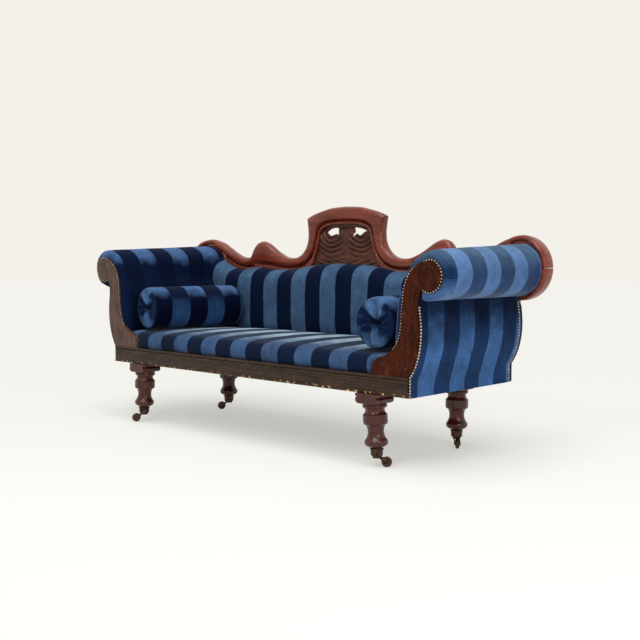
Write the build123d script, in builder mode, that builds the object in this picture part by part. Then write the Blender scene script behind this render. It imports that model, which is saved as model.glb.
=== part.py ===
# Scroll-arm settee: a sprung seat, two rolled arms, a carved crest, two bolsters and four casters.
# +X runs along the seat, the front faces -Y, +Z is up, and the origin is on the floor under the middle.
import math
import os

from build123d import *

os.makedirs("parts", exist_ok=True)

# Driving sizes, in millimetres
RAIL_HALF_LENGTH = 865
RAIL_BOTTOM = 269
RAIL_HEIGHT = 71
FRAME_DEPTH = 650
CREST_OVERHANG = 12
CAPITAL_OVERHANG = 12
CREST_THICKNESS = 36
CREST_TOP = 978
MOULDING_THICKNESS = 22
RAIL_THICKNESS = 38
BACK_THICKNESS = 40
FACING_SETBACK = 2
FACING_THICKNESS = 18
STUMP_THICKNESS = 34
PANEL_THICKNESS = 9.7
PANEL_SETBACK = 8
GAP = 0.3

# Seat and back upholstery
SEAT_CROWN = 420.7
SEAT_BACK_CLEARANCE = 2
ARM_PAD_THICKNESS = 79
HESSIAN_HEIGHT = 383
HESSIAN_THICKNESS = 3
CLOTH_THICKNESS = 2.5
BACK_PAD_THICKNESS = 70

# Bolsters
BOLSTER_RADIUS = 97
BOLSTER_LENGTH = 490
LEFT_BOLSTER_INSET = 126
LEFT_BOLSTER_FROM_BACK = 250
LEFT_BOLSTER_TURN = -8
RIGHT_BOLSTER_INSET = 110
RIGHT_BOLSTER_FROM_BACK = 254
RIGHT_BOLSTER_TURN = 0

# Legs and casters
LEG_INSET = 179
FRONT_LEG_DEPTH = 38
REAR_LEG_INSET = 109
LEG_SPLAY = 3.5
CAPITAL_WIDTH = 100
CAPITAL_HEIGHT = 37
REAR_BLOCK_WIDTH = 92
WHEEL_RADIUS = 19
WHEEL_WIDTH = 14
CASTER_TRAIL = 36
AXLE_RADIUS = 3
PIN_RADIUS = 5
RUNNING_CLEARANCE = 0.05

# Nails
NAIL_HEAD_RADIUS = 4.2
NAIL_HEAD_HEIGHT = 2.6
NAIL_SHANK_RADIUS = 0.8
NAIL_SHANK_LENGTH = 6
NAIL_PITCH = 11

# Places worked out from the driving sizes
FRONT_Y = -(FRAME_DEPTH + CREST_OVERHANG - CAPITAL_OVERHANG) / 2
RAIL_TOP = RAIL_BOTTOM + RAIL_HEIGHT
RAIL_BACK = MOULDING_THICKNESS + RAIL_THICKNESS
BACK_FRAME_FRONT = FRAME_DEPTH - BACK_THICKNESS
SIDE_RAIL_INNER = RAIL_HALF_LENGTH - RAIL_THICKNESS
CREST_BACK = FRAME_DEPTH + CREST_OVERHANG
CREST_FRONT = CREST_BACK - CREST_THICKNESS
FACING_BACK = FACING_SETBACK + FACING_THICKNESS
ARM_PAD_BACK = CREST_FRONT - GAP
REAR_STUMP_FRONT = BACK_FRAME_FRONT - STUMP_THICKNESS
PANEL_BACK = CREST_FRONT - GAP
BACK_PAD_FRONT = BACK_FRAME_FRONT - BACK_PAD_THICKNESS
SEAT_BACK_DEPTH = BACK_PAD_FRONT - SEAT_BACK_CLEARANCE
SEAT_HALF_WIDTH = RAIL_HALF_LENGTH - ARM_PAD_THICKNESS
LEFT_BOLSTER_X = LEFT_BOLSTER_INSET - SEAT_HALF_WIDTH
LEFT_BOLSTER_DEPTH = SEAT_BACK_DEPTH - LEFT_BOLSTER_FROM_BACK
RIGHT_BOLSTER_X = SEAT_HALF_WIDTH - RIGHT_BOLSTER_INSET
RIGHT_BOLSTER_DEPTH = SEAT_BACK_DEPTH - RIGHT_BOLSTER_FROM_BACK
LEG_X = RAIL_HALF_LENGTH - LEG_INSET
REAR_LEG_DEPTH = FRAME_DEPTH - REAR_LEG_INSET


def at(depth):
    """The Y of a depth that is measured back from the front lip of the rail."""
    return FRONT_Y + depth


def upright_plane(depth):
    """A plane of width and height at this depth; extruding from it goes towards the front."""
    return Plane.XZ.offset(-at(depth))


def lift(dx, dz):
    """A point of the arm's outline, from the rail end's top corner."""
    return (RAIL_HALF_LENGTH + dx, RAIL_TOP + dz)


def keep(builder, name):
    """Label a finished piece and write it to its own file."""
    builder.part.label = name
    export_step(builder.part, f"parts/{name}.step")


def mirrored(builder, name):
    """Write the left-hand twin of a right-hand piece."""
    with BuildPart() as twin:
        mirror(builder.part, about=Plane.YZ)
    keep(twin, name)


# Front rail moulding: a lip, three reeds, a flat fascia and a small bead at the bottom
REED_COUNT = 3
REED_HEIGHT = 11
REED_BULGE = 2.5
LIP_HEIGHT = 9
FASCIA_SETBACK = 4
BEAD_HEIGHT = 8
with BuildPart() as front_rail_moulding:
    with BuildSketch(Plane.YZ):
        with BuildLine():
            reed_top = RAIL_TOP - LIP_HEIGHT - 3
            reed_bottom = reed_top - REED_COUNT * REED_HEIGHT
            fascia_y = at(FASCIA_SETBACK)
            Polyline((fascia_y, reed_top), (at(0), RAIL_TOP - LIP_HEIGHT), (at(0), RAIL_TOP),
                     (at(MOULDING_THICKNESS), RAIL_TOP), (at(MOULDING_THICKNESS), RAIL_BOTTOM),
                     (at(1), RAIL_BOTTOM))
            ThreePointArc((at(1), RAIL_BOTTOM), (at(0), RAIL_BOTTOM + BEAD_HEIGHT / 2),
                          (at(1), RAIL_BOTTOM + BEAD_HEIGHT))
            Polyline((at(1), RAIL_BOTTOM + BEAD_HEIGHT), (fascia_y, RAIL_BOTTOM + BEAD_HEIGHT + 2),
                     (fascia_y, reed_bottom))
            for reed in range(REED_COUNT):
                low = reed_bottom + reed * REED_HEIGHT
                ThreePointArc((fascia_y, low), (fascia_y - REED_BULGE, low + REED_HEIGHT / 2),
                              (fascia_y, low + REED_HEIGHT))
        make_face()
    extrude(amount=RAIL_HALF_LENGTH, both=True)
keep(front_rail_moulding, "front_rail_moulding")

# Seat rails: front, back, two sides, and two cross rails that carry the legs
RAIL_MIDDLE = (RAIL_BOTTOM + RAIL_TOP) / 2
with BuildPart() as front_seat_rail:
    with Locations((0, at(MOULDING_THICKNESS + RAIL_THICKNESS / 2), RAIL_MIDDLE)):
        Box(2 * RAIL_HALF_LENGTH, RAIL_THICKNESS, RAIL_HEIGHT)
keep(front_seat_rail, "front_seat_rail")

with BuildPart() as back_seat_rail:
    with Locations((0, at(BACK_FRAME_FRONT + BACK_THICKNESS / 2), RAIL_MIDDLE)):
        Box(2 * RAIL_HALF_LENGTH, BACK_THICKNESS, RAIL_HEIGHT)
keep(back_seat_rail, "back_seat_rail")

SIDE_LENGTH = BACK_FRAME_FRONT - RAIL_BACK
SIDE_MIDDLE_Y = at(RAIL_BACK + SIDE_LENGTH / 2)
with BuildPart() as side_seat_rails:
    for side in (-1, 1):
        with Locations((side * (RAIL_HALF_LENGTH - RAIL_THICKNESS / 2), SIDE_MIDDLE_Y, RAIL_MIDDLE)):
            Box(RAIL_THICKNESS, SIDE_LENGTH, RAIL_HEIGHT)
keep(side_seat_rails, "side_seat_rails")

CROSS_RAIL_HEIGHT = 40
with BuildPart() as seat_cross_rails:
    for side in (-1, 1):
        with Locations((side * LEG_X, SIDE_MIDDLE_Y, RAIL_BOTTOM + CROSS_RAIL_HEIGHT / 2)):
            Box(CAPITAL_WIDTH, SIDE_LENGTH, CROSS_RAIL_HEIGHT)
keep(seat_cross_rails, "seat_cross_rails")

# Corner blocks: three-cornered glue blocks inside the seat frame
BLOCK_REACH = 62
BLOCK_HEIGHT = 52
with BuildPart() as corner_blocks:
    with BuildSketch(Plane.XY.offset(RAIL_TOP - 6)):
        for side in (-1, 1):
            for depth, way in ((RAIL_BACK, 1), (BACK_FRAME_FRONT, -1)):
                corner_x = side * SIDE_RAIL_INNER
                with BuildLine():
                    Polyline((corner_x, at(depth)), (corner_x - side * BLOCK_REACH, at(depth)),
                             (corner_x, at(depth) + way * BLOCK_REACH), close=True)
                make_face()
    extrude(amount=-BLOCK_HEIGHT)
keep(corner_blocks, "corner_blocks")

# Arm facing: a sawn board that rises from a long foot into a round scroll
SCROLL_RADIUS = 53
SCROLL_X = RAIL_HALF_LENGTH + 83
SCROLL_Z = RAIL_TOP + 351
PANEL_SHAPE = ((0, 0), (33, 66), (46, 145), (39, 235))
PANEL_TOP_RISE = 258
CUSP = (57, 309)


def facing_outline():
    """The outline of the right arm's facing, walked from the foot round the scroll and back."""
    Spline(*[lift(*point) for point in PANEL_SHAPE])
    Line(lift(*PANEL_SHAPE[-1]), lift(PANEL_SHAPE[-1][0], PANEL_TOP_RISE))
    ThreePointArc(lift(PANEL_SHAPE[-1][0], PANEL_TOP_RISE), lift(43, 284), lift(*CUSP))
    ThreePointArc(lift(*CUSP), (SCROLL_X + SCROLL_RADIUS, SCROLL_Z), (SCROLL_X, SCROLL_Z + SCROLL_RADIUS))
    Spline((SCROLL_X, SCROLL_Z + SCROLL_RADIUS), lift(26, 382), lift(-10, 334), lift(-24, 270),
           lift(-30, 193), lift(-38, 137), tangents=((-1, 0), (-0.3, -1)))
    Spline(lift(-38, 137), lift(-60, 103), lift(-95, 77), lift(-130, 64))
    Spline(lift(-130, 64), lift(-152, 48), lift(-167, 0))
    Line(lift(-167, 0), lift(0, 0))


with BuildPart() as right_arm_facing:
    with BuildSketch(upright_plane(FACING_BACK)):
        with BuildLine():
            facing_outline()
        make_face()
    extrude(amount=FACING_THICKNESS)
keep(right_arm_facing, "right_arm_facing")
mirrored(right_arm_facing, "left_arm_facing")

# Arm stumps: the posts behind the facing and at the back of the arm, with a round head inside the roll
STUMP_HEAD_RADIUS = 36


def stump_outline():
    """The right arm's post, from its foot on the rail up to the middle of its round head."""
    Polyline(lift(-25, 0), lift(-5, 0), lift(20, 66), lift(33, 145), lift(28, 235), lift(36, 285),
             (SCROLL_X, SCROLL_Z), lift(22, 372), lift(-2, 330), lift(-12, 240), lift(-16, 150), close=True)


with BuildPart() as arm_front_stumps:
    with BuildSketch(upright_plane(RAIL_BACK)):
        with BuildLine():
            stump_outline()
        make_face()
        with Locations((SCROLL_X - 2, SCROLL_Z)):
            Circle(STUMP_HEAD_RADIUS)
    extrude(amount=RAIL_BACK - FACING_BACK)
    mirror(about=Plane.YZ)
keep(arm_front_stumps, "arm_front_stumps")

with BuildPart() as arm_rear_stumps:
    with BuildSketch(upright_plane(BACK_FRAME_FRONT)):
        with BuildLine():
            stump_outline()
        make_face()
        with Locations((SCROLL_X - 2, SCROLL_Z)):
            Circle(STUMP_HEAD_RADIUS)
    extrude(amount=STUMP_THICKNESS)
    mirror(about=Plane.YZ)
keep(arm_rear_stumps, "arm_rear_stumps")

# Arm rails: one inside the roll, and a tack rail at seat height
ARM_RAIL_LENGTH = REAR_STUMP_FRONT - RAIL_BACK
ARM_RAIL_Y = at(RAIL_BACK + ARM_RAIL_LENGTH / 2)
TACK_RAIL_BOTTOM = RAIL_TOP + 60
TACK_RAIL_HEIGHT = 30
with BuildPart() as arm_top_rails:
    for side in (-1, 1):
        with Locations((side * (SCROLL_X - 2), ARM_RAIL_Y, SCROLL_Z)):
            Box(54, ARM_RAIL_LENGTH, 44)
keep(arm_top_rails, "arm_top_rails")

with BuildPart() as arm_tack_rails:
    for side in (-1, 1):
        with Locations((side * (RAIL_HALF_LENGTH - 11), ARM_RAIL_Y, TACK_RAIL_BOTTOM + TACK_RAIL_HEIGHT / 2)):
            Box(20, ARM_RAIL_LENGTH, TACK_RAIL_HEIGHT)
keep(arm_tack_rails, "arm_tack_rails")

# End volutes: a disc that closes the back of each roll, with a rim that stands forward round it
VOLUTE_RADIUS = 125
VOLUTE_X = RAIL_HALF_LENGTH + 52
VOLUTE_Z = RAIL_TOP + 373
ROLL_FRONT_RADIUS = 85
ROLL_FRONT_X = SCROLL_X + 9
ROLL_FRONT_Z = SCROLL_Z + 6
ROLL_BACK_RADIUS = 100
ROLL_BACK_X = VOLUTE_X + 5
ROLL_BACK_Z = VOLUTE_Z - 8
RIM_DEPTH = 26
RIM_CLEARANCE = 3
VOLUTE_JOINT = VOLUTE_Z

with BuildPart() as volute_whole:
    with BuildSketch(upright_plane(CREST_BACK)):
        with Locations((VOLUTE_X, VOLUTE_Z)):
            Circle(VOLUTE_RADIUS)
    extrude(amount=CREST_THICKNESS + RIM_DEPTH)
    with BuildSketch(upright_plane(CREST_FRONT)):
        with Locations((ROLL_BACK_X, ROLL_BACK_Z)):
            Circle(ROLL_BACK_RADIUS + RIM_CLEARANCE)
    extrude(amount=RIM_DEPTH + 1, mode=Mode.SUBTRACT)
    with Locations((ROLL_BACK_X, at(CREST_FRONT), VOLUTE_Z)):
        Box(2 * VOLUTE_RADIUS, RIM_DEPTH + 1, 3 * VOLUTE_RADIUS, align=(Align.MAX, Align.MAX, Align.CENTER),
            mode=Mode.SUBTRACT)

with BuildPart() as right_end_volute:
    add(volute_whole.part)
    split(bisect_by=Plane.XY.offset(VOLUTE_JOINT), keep=Keep.TOP)
keep(right_end_volute, "right_end_volute")
mirrored(right_end_volute, "left_end_volute")

with BuildPart() as volute_returns:
    add(volute_whole.part)
    split(bisect_by=Plane.XY.offset(VOLUTE_JOINT), keep=Keep.BOTTOM)
    mirror(about=Plane.YZ)
keep(volute_returns, "volute_returns")

# Back frame: shaped uprights, stays, a top rail under the crest and a tack rail
CREST_SEAT = 660
TOP_RAIL_HEIGHT = 40
TOP_RAIL_BOTTOM = CREST_SEAT - TOP_RAIL_HEIGHT
UPRIGHT_INNER = RAIL_HALF_LENGTH - 85
STAY_X = 290
STAY_WIDTH = 50
BACK_MIDDLE_Y = at(BACK_FRAME_FRONT + BACK_THICKNESS / 2)

with BuildPart() as back_uprights:
    with BuildSketch(upright_plane(FRAME_DEPTH)):
        with BuildLine():
            Spline(*[lift(dx - 2, dz) for dx, dz in PANEL_SHAPE])
            Polyline(lift(37, 235), (RAIL_HALF_LENGTH + 37, TOP_RAIL_BOTTOM),
                     (UPRIGHT_INNER, TOP_RAIL_BOTTOM), (UPRIGHT_INNER, RAIL_TOP), lift(-2, 0))
        make_face()
        with Locations((VOLUTE_X, VOLUTE_Z)):
            Circle(VOLUTE_RADIUS + GAP, mode=Mode.SUBTRACT)
    extrude(amount=BACK_THICKNESS)
    mirror(about=Plane.YZ)
keep(back_uprights, "back_uprights")

with BuildPart() as back_top_rail:
    with Locations((0, BACK_MIDDLE_Y, CREST_SEAT - TOP_RAIL_HEIGHT / 2)):
        Box(2 * (UPRIGHT_INNER + 20), BACK_THICKNESS, TOP_RAIL_HEIGHT)
keep(back_top_rail, "back_top_rail")

STAY_Y = at(FRAME_DEPTH - BACK_THICKNESS / 4)
STAY_Z = (RAIL_TOP + TOP_RAIL_BOTTOM) / 2
with BuildPart() as back_stay_rails:
    for side in (-1, 1):
        with Locations((side * STAY_X, STAY_Y, STAY_Z)):
            Box(STAY_WIDTH, BACK_THICKNESS / 2, TOP_RAIL_BOTTOM - RAIL_TOP)
keep(back_stay_rails, "back_stay_rails")

with BuildPart() as back_tack_rail:
    with Locations((0, at(BACK_FRAME_FRONT + BACK_THICKNESS / 4), TACK_RAIL_BOTTOM + TACK_RAIL_HEIGHT / 2)):
        Box(2 * UPRIGHT_INNER, BACK_THICKNESS / 2, TACK_RAIL_HEIGHT)
keep(back_tack_rail, "back_tack_rail")

# Crest: a centre arch with a carved and pierced panel, and a sweep with one hump on each side
ARCH_NECK = 223
ARCH_CORNER = (234, CREST_TOP - 47)
OPENING_TOP = CREST_TOP - 78
OPENING_BOTTOM = CREST_SEAT + 30
OPENING_TOP_HALF = 140
OPENING_NECK_HALF = 147
OPENING_FOOT_HALF = 212
PANEL_BOARD_THICKNESS = 18


def opening_outline(inset):
    """The opening in the arch, drawn in by the inset."""
    neck_z = OPENING_TOP - 55
    right_side = ((OPENING_TOP_HALF - inset, OPENING_TOP - inset), (OPENING_NECK_HALF - inset, neck_z),
                  (OPENING_FOOT_HALF - inset, OPENING_BOTTOM + inset))
    left_side = [(-x, z) for x, z in reversed(right_side)]
    Polyline(*right_side, *left_side, close=True)


with BuildPart() as crest_centre_arch:
    with BuildSketch(upright_plane(CREST_BACK)):
        with BuildLine():
            ThreePointArc((-ARCH_CORNER[0], ARCH_CORNER[1]), (0, CREST_TOP), ARCH_CORNER)
            Polyline(ARCH_CORNER, (ARCH_NECK, ARCH_CORNER[1] - 61), (ARCH_NECK, CREST_SEAT),
                     (-ARCH_NECK, CREST_SEAT), (-ARCH_NECK, ARCH_CORNER[1] - 61),
                     (-ARCH_CORNER[0], ARCH_CORNER[1]))
        make_face()
        with BuildLine():
            opening_outline(0)
        make_face(mode=Mode.SUBTRACT)
    extrude(amount=CREST_THICKNESS)
keep(crest_centre_arch, "crest_centre_arch")

with BuildPart() as crest_carved_panel:
    with BuildSketch(upright_plane(CREST_BACK - 10)):
        with BuildLine():
            opening_outline(GAP)
        make_face()
        with Locations((-84, OPENING_TOP - 39), (84, OPENING_TOP - 39)):
            Ellipse(40, 17, mode=Mode.SUBTRACT)
    extrude(amount=PANEL_BOARD_THICKNESS)
keep(crest_carved_panel, "crest_carved_panel")

# The neck is measured from the middle, and the hump and the end from the volute
SWEEP_NECK = ((223, 190), (231, 150), (256, 113), (292, 94), (334, 87))
SWEEP_HUMP = ((-537, 92), (-477, 118), (-433, 146), (-403, 161), (-375, 166), (-348, 159),
              (-327, 136), (-311, 98))
SWEEP_TAIL = ((-311, 98), (-290, 89), (-262, 88), (-222, 94), (-177, 110), (-127, 136),
              (-83, 158), (-37, 173))
SWEEP_RISE = [*SWEEP_NECK, *[(VOLUTE_X + x, rise) for x, rise in SWEEP_HUMP]]
SWEEP_END = [(VOLUTE_X + x, rise) for x, rise in SWEEP_TAIL]
with BuildPart() as crest_right_sweep:
    with BuildSketch(upright_plane(CREST_BACK)):
        with BuildLine():
            Line((ARCH_NECK, CREST_SEAT), (ARCH_NECK, CREST_SEAT + SWEEP_RISE[0][1]))
            Spline(*[(x, CREST_SEAT + rise) for x, rise in SWEEP_RISE])
            Spline(*[(x, CREST_SEAT + rise) for x, rise in SWEEP_END])
            Polyline((SWEEP_END[-1][0], CREST_SEAT + SWEEP_END[-1][1]), (SWEEP_END[-1][0], CREST_SEAT),
                     (ARCH_NECK, CREST_SEAT))
        make_face()
        with Locations((VOLUTE_X, VOLUTE_Z)):
            Circle(VOLUTE_RADIUS + GAP, mode=Mode.SUBTRACT)
    extrude(amount=CREST_THICKNESS)
keep(crest_right_sweep, "crest_right_sweep")
mirrored(crest_right_sweep, "crest_left_sweep")

# Seat support: webbing under the rails, hourglass springs on it, and hessian over them
STRAP_WIDTH = 50
STRAP_FRONT = 130
STRAP_BACK = REAR_LEG_DEPTH - 81
STRAP_SHARES = (0, 3 / 11, 6 / 11, 9 / 11, 1)
LONG_STRAP_DEPTHS = [STRAP_FRONT + (STRAP_BACK - STRAP_FRONT) * share for share in STRAP_SHARES]
EDGE_STRAP_X = RAIL_HALF_LENGTH - 75
CROSS_STRAP_X = [-EDGE_STRAP_X] + [100 * step for step in range(-6, 7)] + [EDGE_STRAP_X]
with BuildPart() as seat_webbing:
    with BuildSketch(Plane.XY.offset(RAIL_BOTTOM - CLOTH_THICKNESS)):
        with Locations(*[(0, at(depth)) for depth in LONG_STRAP_DEPTHS]):
            Rectangle(2 * (RAIL_HALF_LENGTH - 10), STRAP_WIDTH)
        with Locations(*[(x, at(FRAME_DEPTH / 2 + 5)) for x in CROSS_STRAP_X]):
            Rectangle(STRAP_WIDTH, FRAME_DEPTH - 60)
    extrude(amount=CLOTH_THICKNESS)
keep(seat_webbing, "seat_webbing")

WIRE_RADIUS = 2
SPRING_RADIUS = 42
SPRING_WAIST = 24
SPRING_HALF_TURNS = 10
SPRING_BOTTOM = RAIL_BOTTOM + WIRE_RADIUS + GAP
SPRING_RISE = HESSIAN_HEIGHT - RAIL_BOTTOM - 2 * (WIRE_RADIUS + GAP)
SPRING_X = (-500, -300, -100, 100, 300, 500)
SPRING_DEPTHS = (LONG_STRAP_DEPTHS[1], LONG_STRAP_DEPTHS[3])


def spring_point(half_turn):
    """A point of the wire, which swings from side to side as it climbs and narrows at the waist."""
    waist = abs(2 * half_turn / SPRING_HALF_TURNS - 1)
    radius = SPRING_WAIST + (SPRING_RADIUS - SPRING_WAIST) * waist
    way = 1 if half_turn % 2 == 0 else -1
    return Vector(way * radius, 0, SPRING_BOTTOM + SPRING_RISE * half_turn / SPRING_HALF_TURNS)


with BuildPart() as one_spring:
    with BuildLine():
        for half_turn in range(SPRING_HALF_TURNS):
            start = spring_point(half_turn)
            end = spring_point(half_turn + 1)
            bow = (start - end).length / 2 * (1 if half_turn % 2 == 0 else -1)
            ThreePointArc(start, (start + end) / 2 + Vector(0, bow, 0), end)
    with BuildSketch(Plane(origin=spring_point(0), z_dir=(0, 1, 0))):
        Circle(WIRE_RADIUS)
    sweep()

with BuildPart() as seat_springs:
    with Locations(*[(x, at(depth), 0) for x in SPRING_X for depth in SPRING_DEPTHS]):
        add(one_spring.part)
keep(seat_springs, "seat_springs")

with BuildPart() as seat_hessian:
    with BuildSketch(Plane.XY.offset(HESSIAN_HEIGHT)):
        with Locations((0, at((RAIL_BACK + SEAT_BACK_DEPTH) / 2))):
            Rectangle(2 * (SEAT_HALF_WIDTH - 4), SEAT_BACK_DEPTH - RAIL_BACK - 4)
    extrude(amount=HESSIAN_THICKNESS)
keep(seat_hessian, "seat_hessian")

# Seat cover: a crowned pad that rolls over the front rail
SEAT_UNDER = HESSIAN_HEIGHT + HESSIAN_THICKNESS + GAP
SEAT_FOOT = RAIL_TOP + GAP
SEAT_EDGE = SEAT_CROWN - 12
FOOT_HALF_LENGTH = RAIL_HALF_LENGTH - 167
with BuildPart() as seat_cover:
    with BuildSketch(Plane.YZ):
        with BuildLine():
            ThreePointArc((at(14), SEAT_FOOT), (at(7), SEAT_FOOT + 34), (at(46), SEAT_EDGE))
            ThreePointArc((at(46), SEAT_EDGE), (at(SEAT_BACK_DEPTH / 2), SEAT_CROWN),
                          (at(SEAT_BACK_DEPTH), SEAT_EDGE))
            Polyline((at(SEAT_BACK_DEPTH), SEAT_EDGE), (at(SEAT_BACK_DEPTH), SEAT_UNDER),
                     (at(RAIL_BACK), SEAT_UNDER), (at(RAIL_BACK), SEAT_FOOT), (at(14), SEAT_FOOT))
        make_face()
    extrude(amount=SEAT_HALF_WIDTH, both=True)
    end_width = SEAT_HALF_WIDTH - FOOT_HALF_LENGTH + GAP
    for side in (-1, 1):
        with Locations((side * (FOOT_HALF_LENGTH - GAP + end_width / 2), at(FACING_BACK + GAP), SEAT_FOOT)):
            Box(end_width, 80, 200, align=(Align.CENTER, Align.MAX, Align.CENTER), mode=Mode.SUBTRACT)
keep(seat_cover, "seat_cover")

# Inside back cover: a padded face that rolls over at the top into the crest
BACK_PAD_BOTTOM = SEAT_CROWN - 26
BACK_PAD_TOP = CREST_SEAT + 48
with BuildPart() as inside_back_cover:
    with BuildSketch(Plane.YZ):
        with BuildLine():
            ThreePointArc((at(BACK_PAD_FRONT + 8), BACK_PAD_BOTTOM), (at(BACK_PAD_FRONT), 510),
                          (at(BACK_PAD_FRONT + 10), 632))
            ThreePointArc((at(BACK_PAD_FRONT + 10), 632), (at(BACK_PAD_FRONT + 34), 688),
                          (at(CREST_FRONT - GAP), BACK_PAD_TOP))
            Polyline((at(CREST_FRONT - GAP), BACK_PAD_TOP), (at(CREST_FRONT - GAP), CREST_SEAT + GAP),
                     (at(BACK_FRAME_FRONT - GAP), CREST_SEAT + GAP),
                     (at(BACK_FRAME_FRONT - GAP), BACK_PAD_BOTTOM), (at(BACK_PAD_FRONT + 8), BACK_PAD_BOTTOM))
        make_face()
    extrude(amount=SEAT_HALF_WIDTH, both=True)
keep(inside_back_cover, "inside_back_cover")

# Inside arm covers: padding from the seat up the inside of the arm and round the roll
ARM_PAD_BOTTOM = SEAT_CROWN - 26
ARM_PAD_INNER = SEAT_HALF_WIDTH + 2


def arm_pad_section(roll_x, roll_z, radius):
    """The padded arm's outer outline where the roll has this centre and radius."""
    slope = radius * math.sqrt(0.5)
    shoulder = (ARM_PAD_INNER + 34, roll_z - 47)
    ThreePointArc((ARM_PAD_INNER + 6, ARM_PAD_BOTTOM), (ARM_PAD_INNER + 1, 500), shoulder)
    ThreePointArc(shoulder, (roll_x - 1.06 * slope - 22, roll_z + 0.8 * slope), (roll_x, roll_z + radius))
    ThreePointArc((roll_x, roll_z + radius), (roll_x + slope, roll_z + slope), (roll_x + radius, roll_z))
    ThreePointArc((roll_x + radius, roll_z), (roll_x + slope, roll_z - slope), (roll_x, roll_z - radius))
    Polyline((roll_x, roll_z - radius), lift(41, 266), lift(28, 160), lift(-2, 54),
             (ARM_PAD_INNER + 6, ARM_PAD_BOTTOM))


with BuildPart() as right_inside_arm_cover:
    with BuildSketch(upright_plane(FACING_BACK)):
        with BuildLine():
            arm_pad_section(ROLL_FRONT_X, ROLL_FRONT_Z, ROLL_FRONT_RADIUS)
        make_face()
    with BuildSketch(upright_plane(ARM_PAD_BACK)):
        with BuildLine():
            arm_pad_section(ROLL_BACK_X, ROLL_BACK_Z, ROLL_BACK_RADIUS)
        make_face()
    loft(ruled=True)
    with BuildSketch(upright_plane(ARM_PAD_BACK + 1)):
        with BuildLine():
            Polyline(lift(-27, 0), lift(-18, 150), lift(-14, 240), lift(-4, 332), lift(20, 376),
                     (SCROLL_X, SCROLL_Z + 20), lift(44, 262), lift(60, 120), lift(20, 0), close=True)
        make_face()
        with Locations((SCROLL_X - 2, SCROLL_Z)):
            Circle(STUMP_HEAD_RADIUS + 1)
    extrude(amount=FRAME_DEPTH, mode=Mode.SUBTRACT)
    with Locations((RAIL_HALF_LENGTH + 38, at(BACK_FRAME_FRONT - GAP), TOP_RAIL_BOTTOM + GAP)):
        Box(RAIL_HALF_LENGTH, BACK_THICKNESS, TOP_RAIL_BOTTOM, align=(Align.MAX, Align.MIN, Align.MAX),
            mode=Mode.SUBTRACT)
keep(right_inside_arm_cover, "right_inside_arm_cover")
mirrored(right_inside_arm_cover, "left_inside_arm_cover")

# Outside arm covers: a thin padded panel on the same curve as the facing's outer edge
def panel_line(out):
    """The side's curve, this far outside the edge of the facing."""
    rise = [(RAIL_HALF_LENGTH + out, RAIL_TOP), *[lift(dx + out, dz) for dx, dz in PANEL_SHAPE[1:]]]
    Line((RAIL_HALF_LENGTH + out, RAIL_BOTTOM), rise[0])
    Spline(*rise)
    Line(rise[-1], lift(PANEL_SHAPE[-1][0] + out, PANEL_TOP_RISE))


with BuildPart() as right_outside_arm_cover:
    with BuildSketch(upright_plane(PANEL_BACK)):
        with BuildLine():
            panel_line(GAP)
            panel_line(GAP + PANEL_THICKNESS)
            Line((RAIL_HALF_LENGTH + GAP, RAIL_BOTTOM),
                 (RAIL_HALF_LENGTH + GAP + PANEL_THICKNESS, RAIL_BOTTOM))
            Line(lift(PANEL_SHAPE[-1][0] + GAP, PANEL_TOP_RISE),
                 lift(PANEL_SHAPE[-1][0] + GAP + PANEL_THICKNESS, PANEL_TOP_RISE))
        make_face()
    extrude(amount=PANEL_BACK - PANEL_SETBACK)
keep(right_outside_arm_cover, "right_outside_arm_cover")
mirrored(right_outside_arm_cover, "left_outside_arm_cover")

# Outside back cover and the dust cover under the seat
with BuildPart() as outside_back_cover:
    with BuildSketch(upright_plane(FRAME_DEPTH + CLOTH_THICKNESS)):
        with BuildLine():
            Line((RAIL_HALF_LENGTH - 1, RAIL_BOTTOM), lift(-1, 0))
            Spline(*[lift(dx - 1, dz) for dx, dz in PANEL_SHAPE])
            Polyline(lift(38, 235), (RAIL_HALF_LENGTH + 38, CREST_SEAT - GAP), (0, CREST_SEAT - GAP),
                     (0, RAIL_BOTTOM), (RAIL_HALF_LENGTH - 1, RAIL_BOTTOM))
        make_face()
        with Locations((VOLUTE_X, VOLUTE_Z)):
            Circle(VOLUTE_RADIUS + GAP, mode=Mode.SUBTRACT)
        mirror(about=Plane.YZ)
    extrude(amount=CLOTH_THICKNESS)
keep(outside_back_cover, "outside_back_cover")

LEG_CUT = CAPITAL_WIDTH + 8
DUST_TOP = RAIL_BOTTOM - CLOTH_THICKNESS
with BuildPart() as dust_cover:
    with BuildSketch(Plane.XY.offset(DUST_TOP)):
        with Locations((0, at(FRAME_DEPTH / 2 + 8))):
            Rectangle(2 * RAIL_HALF_LENGTH - 16, FRAME_DEPTH - 36)
        for side in (-1, 1):
            with Locations((side * LEG_X, at(FRONT_LEG_DEPTH)), (side * LEG_X, at(REAR_LEG_DEPTH))):
                Rectangle(LEG_CUT, LEG_CUT, mode=Mode.SUBTRACT)
    extrude(amount=-1.5)
keep(dust_cover, "dust_cover")

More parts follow.
